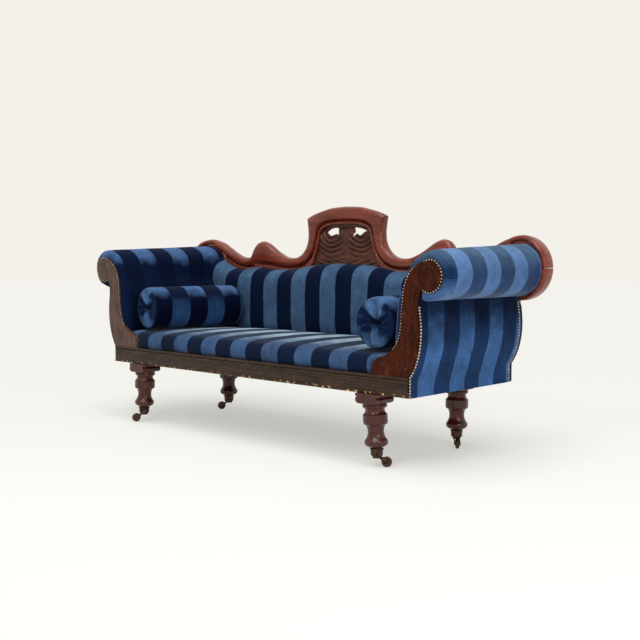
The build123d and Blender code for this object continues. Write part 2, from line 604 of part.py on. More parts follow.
# Nails: domed heads in a row down the front edge and the back edge of each outside arm
DOME_RADIUS = (NAIL_HEAD_RADIUS ** 2 + NAIL_HEAD_HEIGHT ** 2) / (2 * NAIL_HEAD_HEIGHT)
DOME_ANGLE = math.asin(NAIL_HEAD_RADIUS / DOME_RADIUS) / 2
DOME_SLOPE = (DOME_RADIUS * math.sin(DOME_ANGLE), NAIL_HEAD_HEIGHT - DOME_RADIUS * (1 - math.cos(DOME_ANGLE)))
with BuildPart() as one_nail:
    with BuildSketch(Plane.XZ):
        with BuildLine():
            Polyline((0, NAIL_HEAD_HEIGHT), (0, -NAIL_SHANK_LENGTH), (NAIL_SHANK_RADIUS, -NAIL_SHANK_LENGTH),
                     (NAIL_SHANK_RADIUS, 0), (NAIL_HEAD_RADIUS, 0))
            ThreePointArc((NAIL_HEAD_RADIUS, 0), DOME_SLOPE, (0, NAIL_HEAD_HEIGHT))
        make_face()
    revolve(axis=Axis.Z)

NAIL_OUT = GAP + PANEL_THICKNESS / 2
NAIL_END = NAIL_HEAD_RADIUS + 1
BACK_NAIL_Y = at(PANEL_BACK - 2 * NAIL_HEAD_RADIUS)
arm_line = [lift(dx + NAIL_OUT, dz) for dx, dz in PANEL_SHAPE]
nail_runs = (Line((RAIL_HALF_LENGTH + NAIL_OUT, RAIL_BOTTOM + NAIL_END), arm_line[0]), Spline(*arm_line),
             Line(arm_line[-1], lift(PANEL_SHAPE[-1][0] + NAIL_OUT, PANEL_TOP_RISE - NAIL_END)))
nail_places = []
for run in nail_runs:
    steps = round(run.length / NAIL_PITCH)
    for step in range(steps):
        spot = run @ (step / steps)
        heading = run % (step / steps)
        outward = Vector(heading.Y, 0, -heading.X)
        front_spot = Vector(spot.X, at(PANEL_SETBACK), spot.Y)
        back_spot = Vector(spot.X, BACK_NAIL_Y, spot.Y) + outward * (PANEL_THICKNESS / 2)
        nail_places.append(Location(Plane(origin=front_spot, z_dir=(0, -1, 0))))
        nail_places.append(Location(Plane(origin=back_spot, z_dir=outward)))

with BuildPart() as right_nails:
    with Locations(*nail_places):
        add(one_nail.part)
keep(right_nails, "right_nails")
mirrored(right_nails, "left_nails")

# Bolsters: round cushions with gathered ends, a soft rim and a slight swell along the side
BOLSTER_Z = SEAT_CROWN + GAP + BOLSTER_RADIUS
RIM_RADIUS = BOLSTER_RADIUS - 26
PIT_RADIUS = 10


def bolster(middle_x, depth, turn, name):
    """One bolster, with its middle at this place and its length turned from straight back, in degrees."""
    half = BOLSTER_LENGTH / 2
    cross = Vector(math.cos(math.radians(turn)), math.sin(math.radians(turn)), 0)
    lying = Plane(origin=(middle_x, at(depth), BOLSTER_Z), x_dir=cross, z_dir=(0, 0, 1))
    with BuildPart() as cushion:
        with BuildSketch(lying):
            with BuildLine():
                Line((0, 12 - half), (PIT_RADIUS, 9 - half))
                ThreePointArc((PIT_RADIUS, 9 - half), (40, 1 - half), (RIM_RADIUS, 4 - half))
                ThreePointArc((RIM_RADIUS, 4 - half), (BOLSTER_RADIUS - 9, 11 - half),
                              (BOLSTER_RADIUS - 2, 28 - half))
                ThreePointArc((BOLSTER_RADIUS - 2, 28 - half), (BOLSTER_RADIUS, 0),
                              (BOLSTER_RADIUS - 2, half - 28))
                ThreePointArc((BOLSTER_RADIUS - 2, half - 28), (BOLSTER_RADIUS - 9, half - 11),
                              (RIM_RADIUS, half - 4))
                ThreePointArc((RIM_RADIUS, half - 4), (40, half - 1), (PIT_RADIUS, half - 9))
                Polyline((PIT_RADIUS, half - 9), (0, half - 12), (0, 12 - half))
            make_face()
        revolve(axis=Axis(lying.origin, lying.y_dir))
    keep(cushion, name)


bolster(LEFT_BOLSTER_X, LEFT_BOLSTER_DEPTH, LEFT_BOLSTER_TURN, "left_bolster")
bolster(RIGHT_BOLSTER_X, RIGHT_BOLSTER_DEPTH, RIGHT_BOLSTER_TURN, "right_bolster")

# Leg blocks: scrolled capitals on the front legs and square blocks on the back legs
BLOCK_BOTTOM = RAIL_BOTTOM - CAPITAL_HEIGHT
CAPITAL_ROLL_RADIUS = 13
CAPITAL_SLAB = 11
CAPITAL_WAIST = CAPITAL_WIDTH - 24
UNDER_FRONT_EDGE = (Align.CENTER, Align.MIN, Align.MAX)
UNDER_MIDDLE = (Align.CENTER, Align.CENTER, Align.MAX)
with BuildPart() as leg_blocks:
    for side in (-1, 1):
        front_y = at(-CAPITAL_OVERHANG)
        with Locations((side * LEG_X, front_y, RAIL_BOTTOM)):
            Box(CAPITAL_WIDTH, CAPITAL_WIDTH, CAPITAL_SLAB, align=UNDER_FRONT_EDGE)
            Box(CAPITAL_WAIST, CAPITAL_WIDTH - 2, CAPITAL_HEIGHT, align=UNDER_FRONT_EDGE)
        with BuildSketch(Plane.XZ.offset(-front_y)):
            for way in (-1, 1):
                roll_x = side * LEG_X + way * (CAPITAL_WIDTH / 2 - CAPITAL_ROLL_RADIUS)
                with Locations((roll_x, RAIL_BOTTOM - 10 - CAPITAL_ROLL_RADIUS)):
                    Circle(CAPITAL_ROLL_RADIUS)
        extrude(amount=-CAPITAL_WIDTH + 2)
        with Locations((side * LEG_X, at(REAR_LEG_DEPTH), RAIL_BOTTOM)):
            Box(REAR_BLOCK_WIDTH, REAR_BLOCK_WIDTH, CAPITAL_HEIGHT, align=UNDER_MIDDLE)
keep(leg_blocks, "leg_blocks")

# Turned legs: collar, drum, waist, bulge and a tenon that stands in the caster's cup
CUP_FLOOR = 52
TENON_RADIUS = 17
SPLAY_PIVOT = BLOCK_BOTTOM


def leg_foot(side, depth, splay):
    """Where the leg's axis meets the cup's floor."""
    return (side * (LEG_X + math.tan(math.radians(splay)) * (SPLAY_PIVOT - CUP_FLOOR)), at(depth))


def turned_leg(side, depth, splay, name):
    """One leg, turned about an axis that leans outwards by the splay."""
    foot_x, foot_y = leg_foot(side, depth, splay)
    lean = Vector(side * LEG_X - foot_x, 0, SPLAY_PIVOT - CUP_FLOOR).normalized()
    across = Vector(lean.Z, 0, -lean.X)
    axis_plane = Plane(origin=(side * LEG_X, foot_y, SPLAY_PIVOT), x_dir=across, z_dir=across.cross(lean))
    with BuildPart() as leg:
        with BuildSketch(axis_plane):
            with BuildLine():
                Polyline((0, 10), (43, 10), (43, -4))
                ThreePointArc((43, -4), (45, -10), (42, -16))
                Polyline((42, -16), (36, -18), (36, -21))
                ThreePointArc((36, -21), (38, -34), (45, -41))
                Polyline((45, -41), (45, -70), (43, -75), (35, -80))
                ThreePointArc((35, -80), (29.5, -106), (38, -130))
                ThreePointArc((38, -130), (43, -141), (37, -154))
                Polyline((37, -154), (28, -159), (20, -160), (TENON_RADIUS, -162), (TENON_RADIUS, -190),
                         (0, -190), (0, 10))
            make_face()
        revolve(axis=Axis(axis_plane.origin, lean))
        split(bisect_by=Plane.XY.offset(BLOCK_BOTTOM), keep=Keep.BOTTOM)
        split(bisect_by=Plane.XY.offset(CUP_FLOOR), keep=Keep.TOP)
    keep(leg, name)


# Casters: a cup on the leg, a swivelling horn with its axle, and a wheel
CUP_BOTTOM = 40
CUP_TOP = 68
CUP_RADIUS = 25
CUP_BORE = TENON_RADIUS + 1.8
PIN_BORE = PIN_RADIUS + RUNNING_CLEARANCE
HORN_TOP = CUP_BOTTOM - GAP
HORN_PLATE = 6
HORN_RADIUS = 16
CHEEK_THICKNESS = 4
CHEEK_GAP = 1
AXLE_OVERHANG = 1.5


def caster(side, depth, splay, trail_angle, name):
    """One caster; the trail angle turns the wheel's offset round from +X."""
    foot_x, foot_y = leg_foot(side, depth, splay)
    along = Vector(math.cos(math.radians(trail_angle)), math.sin(math.radians(trail_angle)), 0)
    foot = Vector(foot_x, foot_y, 0)
    hub = foot + along * CASTER_TRAIL + Vector(0, 0, WHEEL_RADIUS)
    lateral = Vector(-along.Y, along.X, 0)
    cheek_inner = WHEEL_WIDTH / 2 + CHEEK_GAP

    with BuildPart() as socket:
        with BuildSketch(Plane(origin=foot, x_dir=(1, 0, 0), z_dir=(0, -1, 0))):
            with BuildLine():
                Polyline((PIN_BORE, CUP_BOTTOM), (18, CUP_BOTTOM), (22, CUP_BOTTOM + 4), (22, CUP_BOTTOM + 9))
                ThreePointArc((22, CUP_BOTTOM + 9), (22.5, CUP_BOTTOM + 17), (CUP_RADIUS, CUP_TOP))
                Polyline((CUP_RADIUS, CUP_TOP), (CUP_BORE, CUP_TOP), (CUP_BORE, CUP_FLOOR),
                         (PIN_BORE, CUP_FLOOR), (PIN_BORE, CUP_BOTTOM))
            make_face()
        revolve(axis=Axis(foot, (0, 0, 1)))
    keep(socket, f"{name}_caster_socket")

    cheek_plane = Plane(origin=foot, x_dir=along, z_dir=along.cross(Vector(0, 0, 1)))
    with BuildPart() as horn:
        with Locations(foot + Vector(0, 0, HORN_TOP)):
            Cylinder(HORN_RADIUS, HORN_PLATE, align=(Align.CENTER, Align.CENTER, Align.MAX))
        with Locations(foot + Vector(0, 0, HORN_TOP - 1)):
            Cylinder(PIN_RADIUS, CUP_FLOOR - CUP_BOTTOM + 0.5, align=(Align.CENTER, Align.CENTER, Align.MIN))
        for way in (-1, 1):
            offset_in = way * (cheek_inner + CHEEK_THICKNESS / 2)
            with BuildSketch(cheek_plane.offset(offset_in)):
                with BuildLine():
                    Polyline((-9, HORN_TOP - HORN_PLATE), (-9, HORN_TOP), (9, HORN_TOP), (31, 31),
                             (CASTER_TRAIL + 6, WHEEL_RADIUS + 4), (CASTER_TRAIL - 2, WHEEL_RADIUS - 7),
                             (22, 21), (8, HORN_TOP - HORN_PLATE), close=True)
                make_face()
                with Locations((CASTER_TRAIL, WHEEL_RADIUS)):
                    Circle(7)
                    Circle(AXLE_RADIUS, mode=Mode.SUBTRACT)
            extrude(amount=CHEEK_THICKNESS / 2, both=True)
    keep(horn, f"{name}_caster_horn")

    axle_plane = Plane(origin=hub, x_dir=along, z_dir=lateral)
    with BuildPart() as axle:
        with BuildSketch(axle_plane):
            Circle(AXLE_RADIUS)
        extrude(amount=cheek_inner + CHEEK_THICKNESS + AXLE_OVERHANG, both=True)
    keep(axle, f"{name}_caster_axle")

    with BuildPart() as wheel:
        with BuildSketch(axle_plane):
            Circle(WHEEL_RADIUS)
            Circle(AXLE_RADIUS + RUNNING_CLEARANCE, mode=Mode.SUBTRACT)
        extrude(amount=WHEEL_WIDTH / 2, both=True)
        rims = wheel.edges().filter_by(GeomType.CIRCLE).group_by(SortBy.RADIUS)[-1]
        fillet(rims, radius=3)
    keep(wheel, f"{name}_caster_wheel")


# Each corner: its name, its side, its depth, the splay of its leg and the way its caster trails
CORNERS = (("front_left", -1, FRONT_LEG_DEPTH, LEG_SPLAY, -136),
           ("front_right", 1, FRONT_LEG_DEPTH, LEG_SPLAY, 41),
           ("rear_left", -1, REAR_LEG_DEPTH, 0, -139),
           ("rear_right", 1, REAR_LEG_DEPTH, 0, -49))
for corner, side, depth, splay, trail_angle in CORNERS:
    turned_leg(side, depth, splay, f"{corner}_leg")
    caster(side, depth, splay, trail_angle, corner)
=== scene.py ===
# %% [markdown]
# # A scroll-arm settee in striped velvet
# The CAD model gives every rigid piece its place and size. Here the settee gets its looks: soft velvet
# pieces, a carved and polished crest, worn rails, bronze casters, a pale studio and the camera of the
# photograph. The frame is loaded first.

# %% Load the frame
import math

import bpy
import numpy as np
from mathutils import Matrix, Vector, noise


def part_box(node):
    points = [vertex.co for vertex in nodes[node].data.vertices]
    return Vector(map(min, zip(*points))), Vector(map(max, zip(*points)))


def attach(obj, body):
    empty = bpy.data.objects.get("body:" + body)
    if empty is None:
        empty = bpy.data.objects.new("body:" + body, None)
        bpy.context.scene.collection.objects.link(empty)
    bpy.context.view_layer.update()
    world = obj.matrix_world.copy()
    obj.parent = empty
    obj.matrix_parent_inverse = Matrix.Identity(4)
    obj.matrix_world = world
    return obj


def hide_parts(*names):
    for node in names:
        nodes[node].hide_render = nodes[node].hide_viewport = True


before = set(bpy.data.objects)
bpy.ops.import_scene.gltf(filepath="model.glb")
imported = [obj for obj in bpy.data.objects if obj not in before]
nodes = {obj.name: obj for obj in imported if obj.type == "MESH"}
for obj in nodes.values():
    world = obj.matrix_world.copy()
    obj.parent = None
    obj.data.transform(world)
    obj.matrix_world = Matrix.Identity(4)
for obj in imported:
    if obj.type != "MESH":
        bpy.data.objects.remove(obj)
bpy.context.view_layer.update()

# %% [markdown]
# All pieces are placed by three plain measures: width along the seat, depth back from the front lip of the
# rail, and height above the floor. They are written in millimetres, as a maker would, and turned to metres
# in one place. The driving places come from the frame, so the pieces follow the CAD model.

# %% Measures taken from the frame
MM = 0.001
rail_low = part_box("front_rail_moulding")[0]
crest_low, crest_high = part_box("crest_right_sweep")
FRONT_Y = rail_low.y
RAIL_BOTTOM = rail_low.z / MM
CREST_BACK = (crest_high.y - FRONT_Y) / MM
CREST_FRONT = (crest_low.y - FRONT_Y) / MM


def spot(width, depth, height):
    """A place in metres, from millimetres of width, depth and height."""
    return Vector((width * MM, FRONT_Y + depth * MM, height * MM))


def ease(value, start, end):
    """0 before start, 1 after end, with a soft change between."""
    share = min(max((value - start) / (end - start), 0), 1)
    return share * share * (3 - 2 * share)


def ripple(scale, *place):
    """Smooth noise between about -1 and 1, the same on every run."""
    return noise.noise(Vector(place) * scale)


print("rail bottom", RAIL_BOTTOM, "crest from", CREST_FRONT, "to", CREST_BACK)

# %% [markdown]
# The camera stands where the photograph was taken from. It was fitted to the rail, the legs, the crest and
# the even stripes, and these are its place, its turn in degrees and its focal length.

# %% Camera
CAMERA_PLACE = (2.96916, -2.96852, 0.77097)
CAMERA_TILT = 86.0917
CAMERA_HEADING = 43.6147
CAMERA_LENS = 55.395
SENSOR_WIDTH = 36

camera_data = bpy.data.cameras.new("photo_camera")
camera_data.sensor_width = SENSOR_WIDTH
camera_data.sensor_fit = "HORIZONTAL"
camera_data.lens = CAMERA_LENS
camera = bpy.data.objects.new("photo_camera", camera_data)
bpy.context.scene.collection.objects.link(camera)
camera.location = CAMERA_PLACE
camera.rotation_euler = (math.radians(CAMERA_TILT), 0, math.radians(CAMERA_HEADING))
bpy.context.scene.camera = camera
bpy.context.scene.view_settings.view_transform = "Standard"
print("camera at", CAMERA_PLACE)

# %% [markdown]
# Finishes and studio are built from shader nodes, which could be wired one by one. A few helpers say the
# same in one line each: add a node, set its sockets and join it to the next. Colours are written as they
# look on a screen, and turned into linear light by one helper.

# %% Node helpers


def paint(red, green, blue):
    """A screen colour of 0 to 255 as linear light."""
    linear = []
    for part in (red, green, blue):
        share = part / 255
        linear.append(share / 12.92 if share <= 0.04045 else ((share + 0.055) / 1.055) ** 2.4)
    return (*linear, 1)


def wire(tree, start, end):
    """Join an output socket to an input socket."""
    tree.links.new(start, end)


def feed(tree, value, socket):
    """Set a plain value on an input socket, or wire an output socket to it."""
    if isinstance(value, (int, float, tuple)):
        socket.default_value = value
    else:
        wire(tree, value, socket)


def set_inputs(made, values):
    """Set plain values on the input sockets of a node."""
    for name, value in values.items():
        made.inputs[name].default_value = value


def add_node(tree, kind, values=None, **settings):
    """Add a node, with its settings and the values of its input sockets."""
    made = tree.nodes.new(kind)
    for name, value in settings.items():
        setattr(made, name, value)
    set_inputs(made, values or {})
    return made


print("red paint", paint(255, 0, 0))

# %% [markdown]
# Most of a finish is made of sums, mixes of two colours, stretched ranges and noise. Each is one node, and
# each helper here returns that node's output, so that one helper can be fed straight into the next.

# %% Helpers for sums, mixes and noise


def maths(tree, operation, *values):
    """A Math node on up to three numbers or output sockets."""
    made = add_node(tree, "ShaderNodeMath", operation=operation)
    for value, socket in zip(values, made.inputs):
        feed(tree, value, socket)
    return made.outputs[0]


def blend(tree, share, first, second, way="MIX"):
    """Mix two colours by a share, each a colour or an output socket."""
    made = add_node(tree, "ShaderNodeMix", data_type="RGBA", blend_type=way)
    for name, value in (("Factor_Float", share), ("A_Color", first), ("B_Color", second)):
        feed(tree, value, next(item for item in made.inputs if item.identifier == name))
    return next(item for item in made.outputs if item.identifier == "Result_Color")


def spread(tree, value, low, high, to_low=0.0, to_high=1.0):
    """A Map Range node that turns a stretch of values into another."""
    made = add_node(tree, "ShaderNodeMapRange", {"From Min": low, "From Max": high, "To Min": to_low,
                                                 "To Max": to_high})
    wire(tree, value, made.inputs["Value"])
    return made.outputs["Result"]


def speckle(tree, vector, scale, detail=3.0, roughness=0.5, distortion=0.0):
    """A Noise Texture on this vector."""
    made = add_node(tree, "ShaderNodeTexNoise", {"Scale": scale, "Detail": detail, "Roughness": roughness,
                                                 "Distortion": distortion})
    wire(tree, vector, made.inputs["Vector"])
    return made.outputs["Fac"]


def vector_maths(tree, operation, first, second):
    """A Vector Math node on an output socket and a vector or another output socket."""
    made = add_node(tree, "ShaderNodeVectorMath", operation=operation)
    wire(tree, first, made.inputs[0])
    feed(tree, second, made.inputs[1])
    return made.outputs["Value" if operation == "DOT_PRODUCT" else "Vector"]


def separate(tree, vector):
    """The X, Y and Z of a vector."""
    made = add_node(tree, "ShaderNodeSeparateXYZ")
    wire(tree, vector, made.inputs[0])
    return made.outputs


print("helpers:", [made.__name__ for made in (maths, blend, spread, speckle, vector_maths, separate)])

# %% [markdown]
# The settee stands on a pale studio floor that runs out of the picture. More lamps would make it white but
# would wash out the velvet, so a share of it is plain colour instead, for the rays that show it, and the
# rest takes the soft shadow under the settee.

# %% Studio floor
FLOOR_COLOUR = (0.88, 0.87, 0.83, 1)
FLOOR_PLAIN = 0.55
FLOOR_SIZE = 40


def clear_selection():
    """Deselect everything, so that an operator touches only the new piece."""
    bpy.ops.object.select_all(action="DESELECT")


def plain_rays(tree):
    """1 for the rays that show the background: straight to the camera, by gloss or through glass."""
    rays = add_node(tree, "ShaderNodeLightPath").outputs
    seen_or_glossy = maths(tree, "MAXIMUM", rays["Is Camera Ray"], rays["Is Glossy Ray"])
    return maths(tree, "MAXIMUM", seen_or_glossy, rays["Is Transmission Ray"])


clear_selection()
bpy.ops.mesh.primitive_plane_add(size=FLOOR_SIZE)
floor = bpy.context.object
floor.name = "studio_floor"
floor_paint = bpy.data.materials.new("studio_floor")
floor_paint.use_nodes = True
floor_tree = floor_paint.node_tree
floor_shader = floor_tree.nodes["Principled BSDF"]
set_inputs(floor_shader, {"Base Color": FLOOR_COLOUR, "Roughness": 0.75})
floor_glow = add_node(floor_tree, "ShaderNodeEmission", {"Color": FLOOR_COLOUR})
floor_mix = add_node(floor_tree, "ShaderNodeMixShader")
wire(floor_tree, maths(floor_tree, "MULTIPLY", plain_rays(floor_tree), FLOOR_PLAIN), floor_mix.inputs[0])
wire(floor_tree, floor_shader.outputs[0], floor_mix.inputs[1])
wire(floor_tree, floor_glow.outputs[0], floor_mix.inputs[2])
wire(floor_tree, floor_mix.outputs[0], floor_tree.nodes["Material Output"].inputs[0])
floor.data.materials.append(floor_paint)
print("floor of", FLOOR_SIZE, "m")

# %% [markdown]
# Behind the floor is a pale backdrop, which is only the world's colour. It lights the settee less than it
# shows, so that the velvet keeps its depth, and the polish and the metal still mirror it.

# %% Studio world
BACKDROP_COLOUR = (0.9, 0.88, 0.82, 1)
WHITE = (1, 1, 1, 1)
WORLD_LIGHT = 0.34

world = bpy.data.worlds.new("studio_world")
bpy.context.scene.world = world
world.use_nodes = True
sky = world.node_tree
sky.nodes.clear()
seen = add_node(sky, "ShaderNodeBackground", {"Color": BACKDROP_COLOUR})
lights = add_node(sky, "ShaderNodeBackground", {"Color": WHITE, "Strength": WORLD_LIGHT})
choice = add_node(sky, "ShaderNodeMixShader")
world_out = add_node(sky, "ShaderNodeOutputWorld")
wire(sky, plain_rays(sky), choice.inputs[0])
wire(sky, lights.outputs[0], choice.inputs[1])
wire(sky, seen.outputs[0], choice.inputs[2])
wire(sky, choice.outputs[0], world_out.inputs[0])
print("world light", WORLD_LIGHT)

# %% [markdown]
# The light is soft and comes from above, so a high sun with a very wide disc is used. A weak lamp at the
# right lights the outside of the right arm, and a small one in front puts highlights on the polish.

# %% Studio lamps


def place_light(name, kind, power):
    """A new light in the studio; returns its object."""
    data = bpy.data.lights.new(name, kind)
    data.energy = power
    lamp = bpy.data.objects.new(name, data)
    bpy.context.scene.collection.objects.link(lamp)
    return lamp


def soft_lamp(name, place, aim, size, power):
    """A square area lamp that faces the aim."""
    lamp = place_light(name, "AREA", power)
    lamp.data.size = size
    lamp.location = place
    lamp.rotation_euler = (Vector(aim) - Vector(place)).to_track_quat("-Z", "Y").to_euler()


def wide_sun(name, turn, power, disc):
    """A sun with a wide disc, so that its shadows are soft; the turn is its tilt, roll and heading."""
    lamp = place_light(name, "SUN", power)
    lamp.data.angle = math.radians(disc)
    lamp.rotation_euler = [math.radians(angle) for angle in turn]


wide_sun("top_sun", (16, 0, 30), 2.2, 50)
soft_lamp("side_lamp", (3.6, -1.2, 1.6), (0.6, 0, 0.5), 1.6, 26)
soft_lamp("gloss_lamp", (1.2, -2.6, 2.6), (0, 0.2, 0.6), 0.7, 26)
print("lights:", len(bpy.data.lights))

# %% [markdown]
# The show wood is old polished timber with long grain, dark pores and pale scuffs where the polish is
# gone. Every timber here needs the same, so it is one node group with named sockets: noise that is
# stretched along the grain makes figure and pores, and plain noise makes patches and scuffs.

# %% Timber group


def new_group(name, inputs, outputs):
    """A shader node group with named sockets; returns its tree and its two end nodes."""
    tree = bpy.data.node_groups.new(name, "ShaderNodeTree")
    kinds = {"vector": "NodeSocketVector", "colour": "NodeSocketColor", "value": "NodeSocketFloat"}
    for way, sockets in (("INPUT", inputs), ("OUTPUT", outputs)):
        for socket, kind in sockets:
            tree.interface.new_socket(name=socket, in_out=way, socket_type=kinds[kind])
    return tree, tree.nodes.new("NodeGroupInput").outputs, tree.nodes.new("NodeGroupOutput").inputs


GROUP_GIVES = [("Color", "colour"), ("Roughness", "value"), ("Height", "value")]
timber, given, gives = new_group(
    "timber", [("Vector", "vector"), ("Stretch", "vector"), ("Dark", "colour"), ("Light", "colour"),
               ("Worn", "colour"), ("Wear", "value")], GROUP_GIVES)
along_grain = vector_maths(timber, "MULTIPLY", given["Vector"], given["Stretch"])
figure = speckle(timber, along_grain, 2.2, 6, 0.62, 0.8)
pores = speckle(timber, along_grain, 14.0, 4, 0.6)
patches = speckle(timber, given["Vector"], 7.0, 4, 0.6)
scuffs = speckle(timber, given["Vector"], 55.0, 5, 0.65)
grain = blend(timber, spread(timber, figure, 0.3, 0.7), given["Dark"], given["Light"])
darkened = blend(timber, spread(timber, pores, 0.52, 0.72, 0, 0.55), grain, given["Dark"])
aged = blend(timber, spread(timber, patches, 0.35, 0.75, 0, 0.4), darkened, given["Dark"], "MULTIPLY")
wear_share = maths(timber, "MULTIPLY", spread(timber, scuffs, 0.56, 0.68), given["Wear"])
wire(timber, blend(timber, wear_share, aged, given["Worn"]), gives["Color"])
wire(timber, spread(timber, patches, 0.3, 0.75, 0.26, 0.44), gives["Roughness"])
sunk_pores = maths(timber, "MULTIPLY", pores, -0.4)
wire(timber, maths(timber, "ADD", sunk_pores, maths(timber, "MULTIPLY", scuffs, 0.3)), gives["Height"])
print("group:", timber.name)

# %% [markdown]
# The velvet is woven in broad light and dark stripes that wander a little, and its pile is brushed one way
# here and another way there. A wave along one direction makes the stripes, so that they run on over any
# shape, and noise of several sizes makes the streaks, the brushed patches and the crushed pile.

# %% Velvet group
STRIPE_WANDER = 0.006
PILE_TONES = 0.66, 1.2

velvet, given, gives = new_group(
    "velvet", [("Vector", "vector"), ("Across", "vector"), ("Along", "vector"), ("Phase", "value"),
               ("Stripe", "value"), ("Light", "colour"), ("Dark", "colour")], GROUP_GIVES)
across_stripes = vector_maths(velvet, "DOT_PRODUCT", given["Vector"], given["Across"])
along_stripes = vector_maths(velvet, "DOT_PRODUCT", given["Vector"], given["Along"])
wander = speckle(velvet, given["Vector"], 9.0, 2)
sway = maths(velvet, "MULTIPLY_ADD", wander, 2 * STRIPE_WANDER, -STRIPE_WANDER)
across = maths(velvet, "ADD", across_stripes, sway)
beat = maths(velvet, "DIVIDE", maths(velvet, "SUBTRACT", across, given["Phase"]), given["Stripe"])
wave = maths(velvet, "PINGPONG", maths(velvet, "ADD", beat, 0.5), 1.0)
stripe = spread(velvet, wave, 0.485, 0.515)
lay = add_node(velvet, "ShaderNodeCombineXYZ")
wire(velvet, maths(velvet, "MULTIPLY", across_stripes, 210.0), lay.inputs[0])
wire(velvet, maths(velvet, "MULTIPLY", along_stripes, 7.0), lay.inputs[1])
streaks = speckle(velvet, lay.outputs[0], 1.0, 3, 0.6)
brushed = speckle(velvet, given["Vector"], 11.0, 5, 0.6, 0.6)
mottle = speckle(velvet, given["Vector"], 46.0, 4, 0.65)
crushed = speckle(velvet, given["Vector"], 210.0, 3, 0.6)
pile = speckle(velvet, given["Vector"], 900.0, 2)
tone = spread(velvet, brushed, 0.3, 0.7, *PILE_TONES)
for share, reach in ((streaks, 0.13), (mottle, 0.1), (crushed, 0.16)):
    tone = maths(velvet, "ADD", tone, spread(velvet, share, 0.3, 0.7, -reach, reach))
toned = add_node(velvet, "ShaderNodeVectorMath", operation="SCALE")
wire(velvet, blend(velvet, stripe, given["Dark"], given["Light"]), toned.inputs[0])
wire(velvet, tone, toned.inputs["Scale"])
wire(velvet, toned.outputs[0], gives["Color"])
wire(velvet, spread(velvet, brushed, 0.3, 0.7, 0.72, 0.92), gives["Roughness"])
pile_height = maths(velvet, "MULTIPLY", pile, 0.5)
wire(velvet, maths(velvet, "ADD", pile_height, maths(velvet, "MULTIPLY", streaks, 0.8)), gives["Height"])
print("group:", velvet.name)

# %% [markdown]
# A timber finish is the timber group on a shader, with a coat of polish over it. On the rail the polish is
# gone along the lower edge only, so the wear can be tied to a height. Pores and scuffs ruffle the surface.

# %% Timber finish
EDGE_WEAR_HEIGHT = 0.008
LITTLE_WEAR = 0.06


def start_material(name):
    """A new material; returns it, its tree, its shader and its object coordinates."""
    material = bpy.data.materials.new(name)
    material.use_nodes = True
    tree = material.node_tree
    place = tree.nodes.new("ShaderNodeTexCoord").outputs["Object"]
    return material, tree, tree.nodes["Principled BSDF"], place


def relief(tree, shader, height, distance, strength):
    """Let a height ruffle the surface."""
    bump = add_node(tree, "ShaderNodeBump", {"Distance": distance, "Strength": strength})
    wire(tree, height, bump.inputs["Height"])
    wire(tree, bump.outputs[0], shader.inputs["Normal"])


def timber_finish(name, dark, light, stretch, worn=(200, 150, 90), wear=0.0, coat=0.3, wear_height=None,
                  shine=0.2):
    """Polished timber. Wear is how much of the scuffs show, or only below a height that is given."""
    material, tree, shader, place = start_material(name)
    grain_of = add_node(tree, "ShaderNodeGroup", node_tree=timber)
    set_inputs(grain_of, {"Stretch": stretch, "Dark": paint(*dark), "Light": paint(*light),
                          "Worn": paint(*worn), "Wear": wear})
    wire(tree, place, grain_of.inputs["Vector"])
    if wear_height is not None:
        height = separate(tree, place)["Z"]
        edge = spread(tree, height, wear_height, wear_height + EDGE_WEAR_HEIGHT, wear, LITTLE_WEAR)
        wire(tree, edge, grain_of.inputs["Wear"])
    wire(tree, grain_of.outputs["Color"], shader.inputs["Base Color"])
    wire(tree, grain_of.outputs["Roughness"], shader.inputs["Roughness"])
    set_inputs(shader, {"Specular IOR Level": shine, "Coat Weight": coat, "Coat Roughness": 0.13})
    relief(tree, shader, grain_of.outputs["Height"], 0.0006, 0.35)
    return material


print("edge wear fades over", EDGE_WEAR_HEIGHT, "m")

# %% [markdown]
# The settee has several timbers: a red polished crest, a duller carved panel, brown facings, of which the
# left one is painted lighter and greyer, as painted light, a nearly black rail with a worn lower edge, and
# dark red legs. They share the timber group and differ in colours, in the way of the grain, in wear and in
# polish.

# %% Timbers
crest_wood = timber_finish("crest_wood", (88, 30, 14), (146, 62, 38), (3, 22, 22), coat=0.42)
carved_wood = timber_finish("carved_wood", (56, 29, 19), (100, 56, 40), (5, 14, 14), coat=0.05)
facing_wood = timber_finish("facing_wood", (32, 10, 3), (80, 31, 13), (24, 24, 5), (176, 120, 78), 0.1, 0.0,
                            shine=0.07)
# the left facing is a lighter, greyer copy of the facing timber: painted light
left_facing_painted_light = timber_finish("left_facing_painted_light", (52, 32, 25), (104, 76, 66), (24, 24, 5),
                                 (190, 140, 95), 0.1, 0.04)
rail_wood = timber_finish("rail_wood", (30, 18, 10), (66, 46, 32), (3, 24, 24), (222, 172, 106), 2.2, 0.05,
                          RAIL_BOTTOM * MM + 0.003)
leg_wood = timber_finish("leg_wood", (44, 12, 8), (92, 34, 24), (20, 20, 5), coat=0.4)
frame_wood = timber_finish("frame_wood", (120, 92, 62), (168, 134, 94), (4, 24, 24), coat=0.0)
print("materials:", len(bpy.data.materials))

# %% [markdown]
# All the covers are cut from one striped velvet, but sheen and shade make it silvery on the seat, dark
# under the rolls and darker again on the inside of the left arm. Real pile does this by the angle of view
# and of the light. Here it is painted: each cover has its own tones and a fade along one axis, with a
# ragged edge, as painted sheen where the cloth is lighter and painted shade where it is darker.

# %% Velvet finish
STRIPE_WIDTH = 0.0924
# painted shade on the top of the gathered border, and the heights and widths over which it gives way to the
# light tone
GATHER_SHADE = (20, 40, 76)
GATHER_HEIGHTS = 0.69, 0.63
GATHER_WIDTHS = 0.86, 0.92
GATHER_EDGE = 0.003


def read_share(tree, name):
    """A share that is kept on the points of the piece."""
    return add_node(tree, "ShaderNodeAttribute", attribute_name=name).outputs["Fac"]


